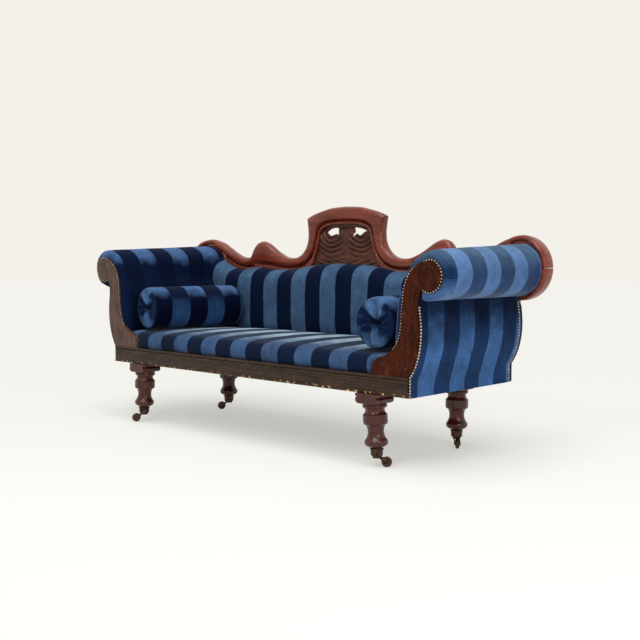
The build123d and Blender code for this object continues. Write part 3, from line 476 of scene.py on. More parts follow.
def velvet_finish(name, across, along, phase, light, dark, sheen=0.15, border=None, painted_light_fade=None,
                  dark_stretch=None, cap=None):
    """Striped velvet whose stripes change along one direction, with a light stripe after the phase.

    A border is the depth in front of which the gathered cloth gets a painted shade, dark at the top and
    light below.
    A painted light fade is an axis, a start and an end on it, and the light and dark tones that the cloth
    has at the end, lighter for painted sheen and darker for painted shade.
    The dark tone may have a stretch, a start and an end, of its own.
    A cap is the light and the dark tone of the painted sheen and shade on gathered ends, which the piece
    marks on its own points.
    """
    material, tree, shader, place = start_material(name)
    parts = separate(tree, place)
    tones = {"Light": paint(*light), "Dark": paint(*dark)}
    if border is not None:
        in_front = spread(tree, parts["Y"], border + GATHER_EDGE, border - GATHER_EDGE)
        # painted shade on the gathered border: dark at the top and inner side, light below
        painted_border_shade = maths(tree, "MULTIPLY", spread(tree, parts["Z"], *GATHER_HEIGHTS),
                      spread(tree, parts["X"], *GATHER_WIDTHS))
        gathered = blend(tree, painted_border_shade, paint(*GATHER_SHADE), paint(*light))
        tones = {socket: blend(tree, in_front, tone, gathered) for socket, tone in tones.items()}
    if painted_light_fade is not None:
        # the fade paints sheen where its end tones are lighter and shade where they are darker
        axis, start, end, faded_light, faded_dark = painted_light_fade
        reach = abs(end - start) / 4
        ragged = spread(tree, speckle(tree, place, 14.0, 3), 0.3, 0.7, -reach, reach)
        ragged_place = maths(tree, "ADD", parts[axis], ragged)
        ends = (("Light", (start, end), faded_light), ("Dark", dark_stretch or (start, end), faded_dark))
        for socket, stretch, faded_tone in ends:
            faded = spread(tree, ragged_place, *stretch)
            tones[socket] = blend(tree, faded, tones[socket], paint(*faded_tone))
    if cap is not None:
        # the gathered ends: painted sheen on upright folds, painted shade on level ones
        painted_petal_light = blend(tree, read_share(tree, "painted_fold_sheen"), paint(*cap[1]), paint(*cap[0]))
        on_end = read_share(tree, "cap")
        tones = {socket: blend(tree, on_end, tone, painted_petal_light) for socket, tone in tones.items()}
    cloth_of = add_node(tree, "ShaderNodeGroup", node_tree=velvet)
    set_inputs(cloth_of, {"Across": across, "Along": along, "Phase": phase, "Stripe": STRIPE_WIDTH})
    wire(tree, place, cloth_of.inputs["Vector"])
    for socket, tone in tones.items():
        feed(tree, tone, cloth_of.inputs[socket])
    wire(tree, cloth_of.outputs["Color"], shader.inputs["Base Color"])
    wire(tree, cloth_of.outputs["Roughness"], shader.inputs["Roughness"])
    set_inputs(shader, {"Specular IOR Level": 0.05, "Sheen Weight": sheen, "Sheen Roughness": 0.35,
                        "Sheen Tint": (0.66, 0.8, 1, 1)})
    relief(tree, shader, cloth_of.outputs["Height"], 0.0008, 0.3)
    return material


print("stripe width", STRIPE_WIDTH, "m")

# %% [markdown]
# The stripes run back over the seat, up the back and round the arms, as the cloth was cut. So each cover
# has a direction along which its stripes change, a place where a light stripe starts, and its own tones,
# which hold the painted sheen and painted shade of the place where it lies.

# %% Velvets
UP = (0, 0, 1)
LENGTHWAYS = (1, 0, 0)
BACKWARDS = (0, 1, 0)
SEAT_STRIPE_START = -0.620
ROLL_STRIPE_START = FRONT_Y + 0.044
PANEL_STRIPE_START = FRONT_Y + 0.0436

# the seat turns silvery from the nose back: painted sheen
seat_velvet_painted_sheen = velvet_finish("seat_velvet_painted_sheen", LENGTHWAYS, BACKWARDS, SEAT_STRIPE_START, (54, 78, 112),
                            (8, 21, 46), 0.2,
                            painted_light_fade=("Y", FRONT_Y + 0.05, FRONT_Y + 0.24, (152, 174, 190), (26, 42, 58)))
back_velvet = velvet_finish("back_velvet", LENGTHWAYS, UP, SEAT_STRIPE_START, (64, 90, 120),
                            (4, 17, 44), 0.12)
# the outside panels darken towards the top, under the rolls: painted shade
outside_velvet_painted_shade = velvet_finish("outside_velvet_painted_shade", BACKWARDS, UP, PANEL_STRIPE_START, (60, 97, 148),
                               (25, 50, 88), 0.08, painted_light_fade=("Z", 0.43, 0.57, (18, 38, 66), (4, 17, 45)))
# the right roll is a lit copy of the velvet, with lighter dark stripes than the left roll, and gets lighter
# again on top: painted light; its gathered border has painted shade at the top
right_roll_velvet_painted_light = velvet_finish("right_roll_velvet_painted_light", BACKWARDS, UP, ROLL_STRIPE_START, (74, 106, 152),
                                  (34, 58, 96), 0.3, ROLL_STRIPE_START,
                                  ("Z", 0.71, 0.78, (92, 125, 168), (62, 87, 114)))
# the left roll darkens below its top, on the inside of the arm: painted shade
left_roll_velvet_painted_shade = velvet_finish("left_roll_velvet_painted_shade", BACKWARDS, UP, ROLL_STRIPE_START + STRIPE_WIDTH,
                                 (74, 104, 150), (6, 20, 48), 0.1,
                                 painted_light_fade=("Z", 0.785, 0.71, (6, 21, 50), (3, 14, 40)))
plain_velvet = velvet_finish("plain_velvet", BACKWARDS, UP, FRONT_Y, (16, 29, 58), (20, 36, 72))
print("materials:", len(bpy.data.materials))

# %% [markdown]
# Metal and lining are smaller finishes. The casters are dark bronze with brown patches, the nails are aged
# brass, and the cloths that nobody sees are jute and black lining with a plain weave.

# %% Finishes in metal and lining


def mottled(tree, shader, share, dark, light):
    """Colour a surface from dark to light by a noise."""
    colour = blend(tree, spread(tree, share, 0.35, 0.65), paint(*dark), paint(*light))
    wire(tree, colour, shader.inputs["Base Color"])


def metal_finish(name, dark, light, roughness, metal=0.9):
    """Old metal with darker patches."""
    material, tree, shader, place = start_material(name)
    stains = speckle(tree, place, 60.0, 5, 0.65)
    mottled(tree, shader, stains, dark, light)
    wire(tree, spread(tree, stains, 0.3, 0.7, roughness + 0.18, roughness), shader.inputs["Roughness"])
    set_inputs(shader, {"Metallic": metal})
    relief(tree, shader, stains, 0.0008, 0.3)
    return material


def lining_finish(name, dark, light):
    """A loose plain weave."""
    material, tree, shader, place = start_material(name)
    threads = speckle(tree, vector_maths(tree, "MULTIPLY", place, (300.0, 900.0, 300.0)), 1.0, 2)
    mottled(tree, shader, threads, dark, light)
    set_inputs(shader, {"Roughness": 0.95})
    relief(tree, shader, threads, 0.0006, 0.4)
    return material


caster_bronze = metal_finish("caster_bronze", (38, 26, 20), (92, 72, 56), 0.38)
nail_brass = metal_finish("nail_brass", (112, 92, 66), (198, 182, 154), 0.3, 0.55)
spring_wire = metal_finish("spring_wire", (70, 50, 38), (150, 108, 78), 0.4)
jute = lining_finish("jute", (120, 96, 62), (176, 150, 108))
black_lining = lining_finish("black_lining", (14, 14, 15), (40, 40, 42))
print("materials:", len(bpy.data.materials))

# %% [markdown]
# The CAD nodes that stay visible take their finish by name: rails, facings and legs in their own timbers,
# hidden frame pieces in bare wood, casters in bronze and nails in brass.

# %% Finish the CAD nodes
FINISH_BY_WORD = (("crest_carved", carved_wood), ("crest", crest_wood), ("volute", crest_wood),
                  ("left_arm_facing", left_facing_painted_light), ("facing", facing_wood), ("moulding", rail_wood),
                  ("caster", caster_bronze), ("leg", leg_wood), ("nails", nail_brass),
                  ("springs", spring_wire), ("webbing", jute), ("hessian", jute), ("dust", black_lining),
                  ("cover", seat_velvet_painted_sheen), ("bolster", seat_velvet_painted_sheen), ("", frame_wood))
for name, node in nodes.items():
    finish = next(made for word, made in FINISH_BY_WORD if word in name)
    node.data.materials.clear()
    node.data.materials.append(finish)
print(len(nodes), "CAD nodes finished")

# %% [markdown]
# The outlines and sections of the settee are smooth curves that are known at a few points. Curve objects
# could hold them, but a small function can be asked for any place on the curve.

# %% Curve helper


def curve_through(points, steps=12):
    """A smooth curve through the points: the result gives its place at a share of 0 to 1 of the spans."""
    hull = np.array(points, float)
    hull = np.vstack([2 * hull[0] - hull[1], hull, 2 * hull[-1] - hull[-2]])
    dense = []
    for before, start, end, after in zip(hull, hull[1:], hull[2:], hull[3:]):
        for share in np.linspace(0, 1, steps, endpoint=False):
            dense.append(0.5 * (2 * start + (end - before) * share
                                + (2 * before - 5 * start + 4 * end - after) * share ** 2
                                + (3 * start - before - 3 * end + after) * share ** 3))
    dense.append(hull[-2])
    dense = np.array(dense)
    shares = np.linspace(0, 1, len(dense))
    return lambda share: [float(np.interp(share, shares, column)) for column in dense.T]


print("half way along a bend:", curve_through(((0, 0), (1, 1), (2, 0)))(0.5))

# %% [markdown]
# The soft and carved pieces are all shaped in the same way, as a modeller pulls a sheet of clay: a flat
# grid is added with an operator, and every point of it is moved to its place by a rule for that piece.
# Doubled points are then merged, so that seams and poles close, and the faces are turned outwards.

# %% Shaping helpers
SAME_PLACE = 0.00002


def close_up(piece):
    """Merge doubled points, turn the faces outwards and smooth the shading."""
    clear_selection()
    piece.select_set(True)
    bpy.context.view_layer.objects.active = piece
    bpy.ops.object.mode_set(mode="EDIT")
    bpy.ops.mesh.select_all(action="SELECT")
    bpy.ops.mesh.remove_doubles(threshold=SAME_PLACE)
    bpy.ops.mesh.normals_make_consistent(inside=False)
    bpy.ops.object.mode_set(mode="OBJECT")
    bpy.ops.object.shade_smooth()


def shaped_grid(name, columns, rows, place):
    """A grid of columns by rows, with every point moved to place(share across, share along)."""
    clear_selection()
    bpy.ops.mesh.primitive_grid_add(x_subdivisions=columns, y_subdivisions=rows, size=1)
    piece = bpy.context.object
    piece.name = name
    piece.data.name = name
    for point in piece.data.vertices:
        point.co = place(min(max(point.co.x + 0.5, 0), 1), min(max(point.co.y + 0.5, 0), 1))
    close_up(piece)
    return piece


print("points within", SAME_PLACE, "m are merged")

# %% [markdown]
# Some pieces are sheets, such as the cloth of the outside back, and get their thickness from a Solidify
# modifier. Every finished piece is then told its finish, the body that it moves with and the CAD nodes that
# it stands for.

# %% Helpers for finished pieces


def thicken(piece, thickness, way=None):
    """Give a sheet its thickness, inwards from its outer face, which looks the way that is given."""
    if way and piece.data.polygons[0].normal.dot(Vector(way)) < 0:
        piece.data.flip_normals()
    wall = piece.modifiers.new("thickness", "SOLIDIFY")
    wall.thickness = thickness * MM
    wall.offset = -1
    bpy.context.view_layer.objects.active = piece
    bpy.ops.object.modifier_apply(modifier=wall.name)


def dress(piece, material, slot, stands_for=(), body="frame", fill=None):
    """Give a piece its finish, its body and the CAD nodes that it stands for; the slot is not used."""
    piece.data.materials.clear()
    piece.data.materials.append(material)
    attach(piece, body)
    if stands_for:
        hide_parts(*stands_for)
    print(piece.name, len(piece.data.polygons), "faces")


print("helpers:", [made.__name__ for made in (thicken, dress)])

# %% [markdown]
# The seat is a sprung pad that rolls over the front rail. Its section is walked once round, from the foot
# on the rail up over the nose, along the crown and back underneath. The nose steps back behind the feet
# of the facings, and a slow noise keeps the crown from looking moulded.

# %% Seat
SEAT_SECTION = ((14, 340.6), (8, 358), (8, 380), (20, 400), (50, 411), (130, 417), (270, 420),
                (420, 418), (515, 412), (536, 402), (536, 389), (300, 388), (66, 388), (62, 344),
                (40, 341), (14, 340.6))
seat_line = curve_through(SEAT_SECTION)
SEAT_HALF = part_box("seat_cover")[1].x / MM
SEAT_END = 300, 400
CROWN_RISE = 5
FACING_FOOT = 697.7
FACING_BACK = 20.8


def seat_point(share_across, share_round):
    width = SEAT_HALF * (2 * share_across - 1)
    depth, height = seat_line(share_round)
    if share_across in (0, 1):
        return spot(width, *SEAT_END)
    middle = 1 - ease(abs(width), 330, 600)
    top = ease(height, 385, 410)
    depth = max(depth, FACING_BACK * ease(abs(width), FACING_FOOT - 9, FACING_FOOT))
    height += top * (CROWN_RISE * middle + 1.6 * ripple(6, width * MM, depth * MM, 2.0) - 0.8)
    nose = (1 - ease(depth, 20, 70)) * ease(height, 345, 375)
    depth -= nose * (1.2 * ripple(9, width * MM, height * MM, 5.0) + 0.5 * ripple(45, width * MM, 0.0, 1.0))
    return spot(width, depth, height)


seat = shaped_grid("seat_pad", 260, 110, seat_point)
dress(seat, seat_velvet_painted_sheen, "striped_velvet", ["seat_cover"], fill=0.7)

# %% [markdown]
# The inside back is another pad. Its face is nearly upright and rolls over at the top, where the edge
# follows the lower line of the crest, which dips on both sides of the centre and rises under the humps.

# %% Inside back
BACK_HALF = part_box("inside_back_cover")[1].x / MM
BACK_FLARE = 46
BACK_END = 585, 520
BACK_TOP = 702
CREST_LOWER_LINE = ((0, 718), (80, 717), (154, 712), (224, 703), (294, 690), (371, 687), (451, 687),
                    (535, 697), (601, 694), (658, 687), (702, 688), (746, 701), (791, 723), (831, 749),
                    (868, 768))
lower_widths, lower_heights = zip(*CREST_LOWER_LINE)
BACK_SECTION = ((553, 396), (543, 430), (540, 480), (540, 540), (541, 600), (545, 640), (555, 668),
                (578, 690), (610, BACK_TOP), (625.5, BACK_TOP), (625.5, 664), (610, 661), (609, 500),
                (609, 396), (553, 396))
back_line = curve_through(BACK_SECTION)


def crest_lower(width):
    """The height of the crest's lower line at this width."""
    return float(np.interp(abs(width), lower_widths, lower_heights))


def back_point(share_across, share_round):
    depth, height = back_line(share_round)
    width = (BACK_HALF + BACK_FLARE * ease(height, 560, 680)) * (2 * share_across - 1)
    if share_across in (0, 1):
        return spot(width, *BACK_END)
    height += (crest_lower(width) + 1 - BACK_TOP) * ease(height, 560, 700)
    face = 1 - ease(depth, 560, 600)
    slow, quick = ripple(4, width * MM, 3.0, height * MM), ripple(11, width * MM, 1.0, height * MM)
    depth -= face * (2.0 * slow + 1.2 * quick)
    return spot(width, depth, height)


inside_back = shaped_grid("inside_back_pad", 260, 110, back_point)
dress(inside_back, back_velvet, "striped_velvet", ["inside_back_cover"], fill=0.7)

# %% [markdown]
# Each arm is padded from the seat up and round a roll, which grows a little thicker towards the back. Its
# outline is drawn at the front and at the back, in step with the edge of the wooden facing, so that every
# section between them is a plain mix.

# %% Arm outline
ARM_FRONT = 20
ARM_BACK = 625.4
ROLL_FRONT = (957, 697, 85)
ROLL_BACK = (922, 705, 100)
FACING_EDGE = ((795, 432), (813, 453), (830, 500), (836, 560), (841, 612), (847, 652), (876, 708),
               (948, 744.5), (987, 728), (1001.5, 691), (986, 654), (950, 638), (923, 647))


def arm_outline(depth):
    """The padded arm's outline at this depth, in step with the facing's edge."""
    share = (depth - ARM_FRONT) / (ARM_BACK - ARM_FRONT)
    x, z, r = [front + (back - front) * share for front, back in zip(ROLL_FRONT, ROLL_BACK)]
    slope = r * math.sqrt(0.5)
    return ((795, 396), (789, 440), (789, 500), (793, 560), (803, 610), (822, z - 47),
            (x - 1.06 * slope - 18, z + 0.82 * slope), (x, z + r), (x + slope, z + slope), (x + r, z),
            (x + slope, z - slope), (x, z - r), (912, 603 + 0.02 * depth))


facing_edge = curve_through(FACING_EDGE)
front_outline = curve_through(arm_outline(ARM_FRONT))
back_outline = curve_through(arm_outline(ARM_BACK))
print("arm outline half way round, front", front_outline(0.5), "back", back_outline(0.5))

# %% [markdown]
# In front the velvet is gathered into radial pleats round the wooden scroll. One grid makes the whole arm:
# its columns walk the outline, and its rows start at the edge of the facing, swell forward as the pleated
# border, and then run back along the roll.

# %% Padded arms
BORDER_DEPTH = 44
BORDER_FRONT = 8
BORDER_SHARE = 0.25
PLEAT_COUNT = 40
PLEAT_SIZE = 7
ARM_COVER_THICKNESS = 4


def arm_point(share_round, share_back):
    """A point of the right arm: the border comes first, then the length of the roll."""
    front = np.array(front_outline(share_round))
    back = np.array(back_outline(share_round))
    gathered = ease(share_round, 0.36, 0.48)
    beat = share_round * PLEAT_COUNT / 0.6 + 0.35 * ripple(30, share_round, 0.3, 0.7)
    size = 0.7 + 0.5 * ripple(40, share_round, 4.0, 0.0)
    pleat = gathered * size * (abs(math.sin(math.pi * beat)) - 0.55)
    if share_back < BORDER_SHARE:
        turn = share_back / BORDER_SHARE
        angle = turn * math.pi / 2
        edge = np.array(facing_edge(share_round))
        outline = front + (back - front) * (BORDER_DEPTH - ARM_FRONT) / (ARM_BACK - ARM_FRONT)
        place = edge + (outline - edge) * math.sin(angle) ** 0.9
        depth = BORDER_DEPTH - (BORDER_DEPTH - BORDER_FRONT) * math.cos(angle) + 7 * (1 - turn) ** 4
        fold = pleat * math.sin(math.pi * min(turn * 0.95 + 0.12, 1)) ** 0.8
        depth -= PLEAT_SIZE * fold * math.cos(angle)
        outwards = (outline - edge) / np.linalg.norm(outline - edge)
        place = place + outwards * PLEAT_SIZE * fold * math.sin(angle)
    else:
        run = (share_back - BORDER_SHARE) / (1 - BORDER_SHARE)
        depth = BORDER_DEPTH + (ARM_BACK - BORDER_DEPTH) * run
        place = front + (back - front) * (depth - ARM_FRONT) / (ARM_BACK - ARM_FRONT)
        swell = 1.5 * ripple(7, place[0] * MM, depth * MM, place[1] * MM) * ease(share_round, 0.1, 0.3)
        place[1] += swell * ease(depth, BORDER_DEPTH, 100) * (1 - ease(depth, 560, 620))
    return spot(place[0], depth, place[1])


def left_of(rule):
    """The same rule on the left-hand side."""
    def mirrored(first, second):
        place = rule(first, second)
        return Vector((-place.x, place.y, place.z))
    return mirrored


for side, rule, finish in (("right", arm_point, right_roll_velvet_painted_light),
                           ("left", left_of(arm_point), left_roll_velvet_painted_shade)):
    arm = shaped_grid(f"{side}_arm_pad", 420, 110, rule)
    thicken(arm, ARM_COVER_THICKNESS)
    dress(arm, finish, "striped_velvet", [f"{side}_inside_arm_cover"], fill=0.75)

# %% [markdown]
# The outside of each arm is a thin padded panel that follows the curve of the frame. Its curve is read from
# the CAD panel's own points, so the nails that stand on it still fit, and it swells a little in the middle.

# %% Outside arm panels
panel_low, panel_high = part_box("right_outside_arm_cover")
PANEL_FRONT = (panel_low.y - FRONT_Y) / MM
PANEL_BACK = (panel_high.y - FRONT_Y) / MM
panel_mesh = nodes["right_outside_arm_cover"].data
outer_edge = {}
for face in panel_mesh.polygons:
    if face.normal.x > 0.3:
        for corner in face.vertices:
            place = panel_mesh.vertices[corner].co
            outer_edge[round(place.z / MM, 1)] = place.x / MM
panel_heights = sorted(outer_edge)
panel_widths = [outer_edge[height] for height in panel_heights]
UNDER_ROLL = 20
PANEL_THICKNESS = 9
print("panel from", panel_heights[0], "to", panel_heights[-1], "in", len(panel_heights), "steps")


def panel_width(height):
    """The outer face of the side at this height."""
    return float(np.interp(height, panel_heights, panel_widths))


def panel_point(share_back, share_up):
    height = panel_heights[0] + (panel_heights[-1] + UNDER_ROLL - panel_heights[0]) * share_up
    depth = PANEL_FRONT + (PANEL_BACK - PANEL_FRONT) * share_back
    inside = ease(share_back, 0, 0.12) * (1 - ease(share_back, 0.86, 0.97)) * ease(share_up, 0, 0.25)
    swell = 3.0 + 1.2 * ripple(8, depth * MM, height * MM, 6.0)
    soft = np.mean([panel_width(max(height + step, panel_heights[0])) for step in range(-60, 61, 20)])
    return spot(panel_width(height) * (1 - inside) + inside * (soft + swell), depth, height)


for side, rule, way in (("right", panel_point, 1), ("left", left_of(panel_point), -1)):
    panel = shaped_grid(f"{side}_outside_panel", 140, 90, rule)
    thicken(panel, PANEL_THICKNESS, (way, 0, 0))
    dress(panel, outside_velvet_painted_shade, "striped_velvet", [f"{side}_outside_arm_cover"], fill=0.4)

# %% [markdown]
# The bolsters are round cushions whose ends are gathered into a pit. The end has a profile from the pit to
# the shoulder, with a seam near the rim, and a few deep folds that wander as they run in to the pit.

# %% Bolster ends
BOLSTER_RADIUS = 97
BOLSTER_LENGTH = 490
SHOULDER = 95.5, 32
END_PROFILE = ((0, 54), (4, 48), (9, 34), (18, 18), (36, 9), (62, 6), (82, 9), (93, 19), SHOULDER)
END_SHARE = 0.38
FOLDS = ((5, 0.4, 0.55), (7, 1.9, 0.45), (12, 3.1, 0.2))
FOLD_DEPTH = 15
FOLD_START, FOLD_END = (3, 22), (62, 92)
CREASE_DEPTH = 2.2
SEAM_RADIUS, SEAM_HALF, SEAM_SIZE = 90, 3, 2.0
end_line = curve_through(END_PROFILE)


def bolster_end(share, angle):
    """The radius and the inset of a point on an end, with its folds and its seam."""
    radius, inset = end_line(share / END_SHARE)
    twist = angle + 0.5 * (1 - radius / BOLSTER_RADIUS)
    folds = sum(size * (1 - 2 * abs(math.sin(count * twist / 2 + start))) for count, start, size in FOLDS)
    reach = ease(radius, *FOLD_START) * (1 - ease(radius, *FOLD_END))
    inset -= FOLD_DEPTH * folds * reach
    creases = ripple(30, radius * math.cos(angle) * MM, radius * math.sin(angle) * MM, BOLSTER_LENGTH)
    inset -= CREASE_DEPTH * creases * reach
    seam = math.exp(-((radius - SEAM_RADIUS) / SEAM_HALF) ** 2)
    return radius, inset - SEAM_SIZE * seam


print("radius and inset in the pit", bolster_end(0, 0))

# %% [markdown]
# Each bolster lies where its CAD node lies, and the back end of the left one is turned a little towards the
# middle. The columns of its grid go round it, and the rows go from the pit of one end to that of the other.

# %% Bolsters
BOLSTER_TURN = {"left_bolster": -8, "right_bolster": 0}


def bolster_place(name):
    """The middle of a bolster and its turn."""
    low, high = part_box(name)
    return (low + high) / 2, Matrix.Rotation(math.radians(BOLSTER_TURN[name]), 3, "Z")


def bolster_rule(name):
    """The rule for one bolster, from the box of its CAD node."""
    middle, turn = bolster_place(name)

    def bolster_point(share_round, share_back):
        angle = 2 * math.pi * share_round
        share = min(share_back, 1 - share_back)
        if share < END_SHARE:
            radius, inset = bolster_end(share, angle)
        else:
            run = (share - END_SHARE) / (0.5 - END_SHARE)
            inset = SHOULDER[1] + (BOLSTER_LENGTH / 2 - SHOULDER[1]) * run
            radius = SHOULDER[0] + 1.3 * math.sin(run * math.pi / 2)
        inset = max(inset, 0.4)
        lumps = ripple(14, math.cos(angle) * 0.1, math.sin(angle) * 0.1, inset * MM)
        radius += ease(inset, 20, 60) * 0.9 * lumps
        depth = (inset if share_back < 0.5 else BOLSTER_LENGTH - inset) - BOLSTER_LENGTH / 2
        return middle + turn @ Vector((radius * math.cos(angle), depth, radius * math.sin(angle))) * MM
    return bolster_point


cushions = {name: shaped_grid(f"{name}_cushion", 180, 170, bolster_rule(name)) for name in BOLSTER_TURN}
print("cushions:", list(cushions))

# %% [markdown]
# Below the shoulder the light stripes are painted dark and the dark ones lighter, as painted shade and
# painted sheen of the pile, and upright folds of the ends are painted lighter than level ones, as painted
# sheen. The first is a fade by height. For the second, each point keeps two shares that the finish reads:
# whether it lies on an end, and how much painted sheen its fold gets.

# %% Bolster velvet
# folds near this angle get the most painted sheen on the bolster ends
SHEEN_FOLD_ANGLE = math.radians(82)
PIT_EDGE, CAP_EDGE = (6, 26), (84, 92)
# heights above the bolster's middle where the painted shade on light stripes and the painted sheen on dark
# ones come in
LIGHT_STRETCH = 0.09, 0.046
DARK_STRETCH = 0.055, -0.03


def mark_fold_sheen(piece, name):
    """Keep on each point whether it lies on an end, and how much painted sheen its fold gets there."""
    middle, turn = bolster_place(name)
    cap = piece.data.attributes.new("cap", "FLOAT", "POINT")
    painted_fold_sheen = piece.data.attributes.new("painted_fold_sheen", "FLOAT", "POINT")
    for point in piece.data.vertices:
        across, _, up = turn.transposed() @ (point.co - middle) / MM
        radius = math.hypot(across, up)
        angle = math.atan2(up, across) + 0.9 * ripple(25, across * MM, up * MM, 3.0)
        upright = ease(math.cos(2 * (angle - SHEEN_FOLD_ANGLE)), -0.5, 1.0) * (0.8 + 0.2 * ease(up, -20, 20))
        cap.data[point.index].value = 1 - ease(radius, *CAP_EDGE)
        painted_fold_sheen.data[point.index].value = upright * ease(radius, *PIT_EDGE)


for name, bolster in cushions.items():
    mark_fold_sheen(bolster, name)
    middle, turn = bolster_place(name)
    way = turn @ Vector(BACKWARDS)
    front_end = way.dot(middle) - BOLSTER_LENGTH / 2 * MM
    light_heights = [middle.z + step for step in LIGHT_STRETCH]
    dark_heights = [middle.z + step for step in DARK_STRETCH]
    # below the shoulder light stripes get painted shade and dark ones painted sheen; the ends get painted
    # sheen on upright folds
    finish = velvet_finish(f"{name}_velvet", tuple(way), UP, front_end, (72, 103, 148), (5, 19, 46), 0.1,
                           painted_light_fade=("Z", *light_heights, (1, 6, 32), (46, 79, 120)),
                           dark_stretch=dark_heights, cap=((70, 101, 142), (8, 26, 58)))
    dress(bolster, finish, "striped_velvet", [name], name, 0.8)

# %% [markdown]
# The crest is one carved board. A broad rounded moulding follows its whole outer edge, from one volute over
# the humps, up the neck and across the arch. A dark groove runs inside it, and a flat band is left between
# the groove and the velvet, or between the groove and the carved panel. Three lines describe it: the outer
# edge, the groove and the inner edge. They are walked together, with a corner where the real one has one.

# %% Crest lines
ARCH_TOP = (((0, 978), (0, 913), (0, 899)), ((85, 973), (72, 911), (68, 897)),
            ((160, 957), (122, 902), (114, 889)), ((209, 942), (150, 886), (139, 876)),
            ((234, 931), (162, 870), (149, 862)))
ARCH_NECK = (((234, 931), (162, 870), (149, 862)), ((227, 896), (170, 842), (156, 836)),
             ((223, 862), (178, 815), (164, 808)), ((226, 826), (187, 788), (174, 778)),
             ((240, 794), (202, 760), (185, 746)), ((264, 768), (232, 731), (200, 715)),
             ((296, 752), (275, 711), (222, 698)), ((334, 747), (324, 704), (308, 687)),
             ((380, 752), (384, 705), (380, 685)), ((440, 778), (446, 712), (442, 685)),
             ((490, 809), (496, 718), (490, 689)), ((520, 823), (528, 718), (526, 694)),
             ((545, 826), (556, 714), (552, 696)), ((571, 818), (578, 710), (576, 695)),
             ((592, 793), (596, 707), (596, 693)), ((608, 756), (611, 706), (610, 691)))
SWEEP_TAIL = (((608, 756), (611, 706), (610, 691)), ((630, 749), (632, 705), (632, 688)),
              ((657, 748), (660, 707), (657, 685)), ((697, 754), (704, 715), (700, 687)),
              ((742, 771), (750, 733), (745, 700)), ((792, 797), (800, 758), (790, 722)),
              ((836, 819), (843, 782), (830, 748)), ((876, 832), (884, 797), (868, 768)))


def crest_stations(steps=10):
    """All stations of the crest, from the left volute to the right one, with sharp corners kept."""
    half = []
    for run in (ARCH_TOP, ARCH_NECK, SWEEP_TAIL):
        flat = curve_through([[*outer, *groove, *inner] for outer, groove, inner in run], steps)
        count = (len(run) - 1) * steps
        half += [flat(step / count) for step in range(count + 1)]
    mirror = (-1, 1) * 3
    left = [[value * way for value, way in zip(station, mirror)] for station in half]
    return left[:0:-1] + half


stations = crest_stations()
print(len(stations), "stations along the crest")

# %% [markdown]
# Across the board, one ring of points rolls over the moulding, dips into the groove, crosses the flat band
# and closes round the back. It is only stretched between the three lines, so it serves the whole crest. The
# groove is filled at the outer foot of each hump, and the board goes down behind the velvet on both sides
# of the opening.

# %% Crest board
# Across the board: a share from outer edge (0) to groove (1), inner edge (2) and foot (3), and the depth
MOULDING = ((0.0, 20), (0.02, 12), (0.06, 4), (0.13, -2), (0.25, -6), (0.42, -8), (0.6, -8.5), (0.76, -7.5),
            (0.84, -6), (0.9, -1), (0.93, 8), (0.97, 16), (1.06, 17), (1.14, 11), (1.26, 4), (1.4, 2),
            (1.85, 2), (1.95, 4), (2.0, 9))
CREST_DEPTH = CREST_BACK - CREST_FRONT
BACK_ROUND = ((2.0, 20), (3.0, 21), (3.0, CREST_DEPTH), (0.3, CREST_DEPTH), (0.03, CREST_DEPTH - 3),
              (0.0, 20))
RING = MOULDING + BACK_ROUND
CREST_SEAT = crest_low.z / MM
HUMP_FOOT = 584
OPENING_FOOT = 205
VOLUTE_START = 770
SMOOTH_ANGLE = math.radians(50)


def between(rows, share):
    """The row at a share of 0 to 1 of a list, mixed from its two neighbours."""
    place = share * (len(rows) - 1)
    first = min(int(place), len(rows) - 2)
    start, end = np.array(rows[first]), np.array(rows[first + 1])
    return start + (end - start) * (place - first)


def crest_point(share_along, share_round):
    station = between(stations, share_along)
    outer, groove, inner = station[0:2], station[2:4], station[4:6]
    if share_along in (0, 1):
        middle = (outer + inner) / 2
        return spot(middle[0], CREST_BACK - 15, middle[1])
    share, depth = between(RING, share_round)
    if 0.86 < share < 1.3:
        depth -= (depth + 3) * math.exp(-((abs(groove[0]) - HUMP_FOOT) / 24) ** 2)
    past_opening = ease(abs(inner[0]), OPENING_FOOT, OPENING_FOOT + 17)
    foot = inner + np.array([0, CREST_SEAT - inner[1]]) * past_opening
    if share <= 1:
        flat = outer + (groove - outer) * share
    elif share <= 2:
        flat = groove + (inner - groove) * (share - 1)
    else:
        flat = inner + (foot - inner) * (share - 2)
    depth = min(depth, CREST_DEPTH - 2 * ease(abs(flat[0]), VOLUTE_START, VOLUTE_START + 30))
    return spot(flat[0], CREST_FRONT + depth, flat[1])


crest = shaped_grid("crest_board", len(stations) - 1, (len(RING) - 1) * 2, crest_point)
bpy.ops.object.shade_smooth_by_angle(angle=SMOOTH_ANGLE)
dress(crest, crest_wood, "crest_wood", ["crest_centre_arch", "crest_left_sweep", "crest_right_sweep"])

# %% [markdown]
# A thin braid covers the edge where the velvet of the back meets the crest. It is a small round cord that
# follows the lower line of the crest from arm to arm.

# %% Braid
BRAID_RADIUS = 3.6
BRAID_END = 835
braid_cloth = lining_finish("braid", (74, 60, 48), (128, 108, 88))


def braid_point(share_round, share_along):
    width = BRAID_END * (2 * share_along - 1)
    height = crest_lower(width) + 1
    radius = 0 if share_along in (0, 1) else BRAID_RADIUS
    angle = 2 * math.pi * share_round
    return spot(width, CREST_FRONT - 1 + radius * math.cos(angle), height + radius * math.sin(angle))


braid = shaped_grid("crest_braid", 10, 360, braid_point)
dress(braid, braid_cloth, "striped_velvet")

# %% [markdown]
# The panel in the arch is carved with two draped swags that hang from the pierced holes and meet at a
# stem. The relief is a rule of width and height: nested curves give the folds, a ridge gives the stem, and
# the points that fall in a hole are deleted before the board gets its thickness.

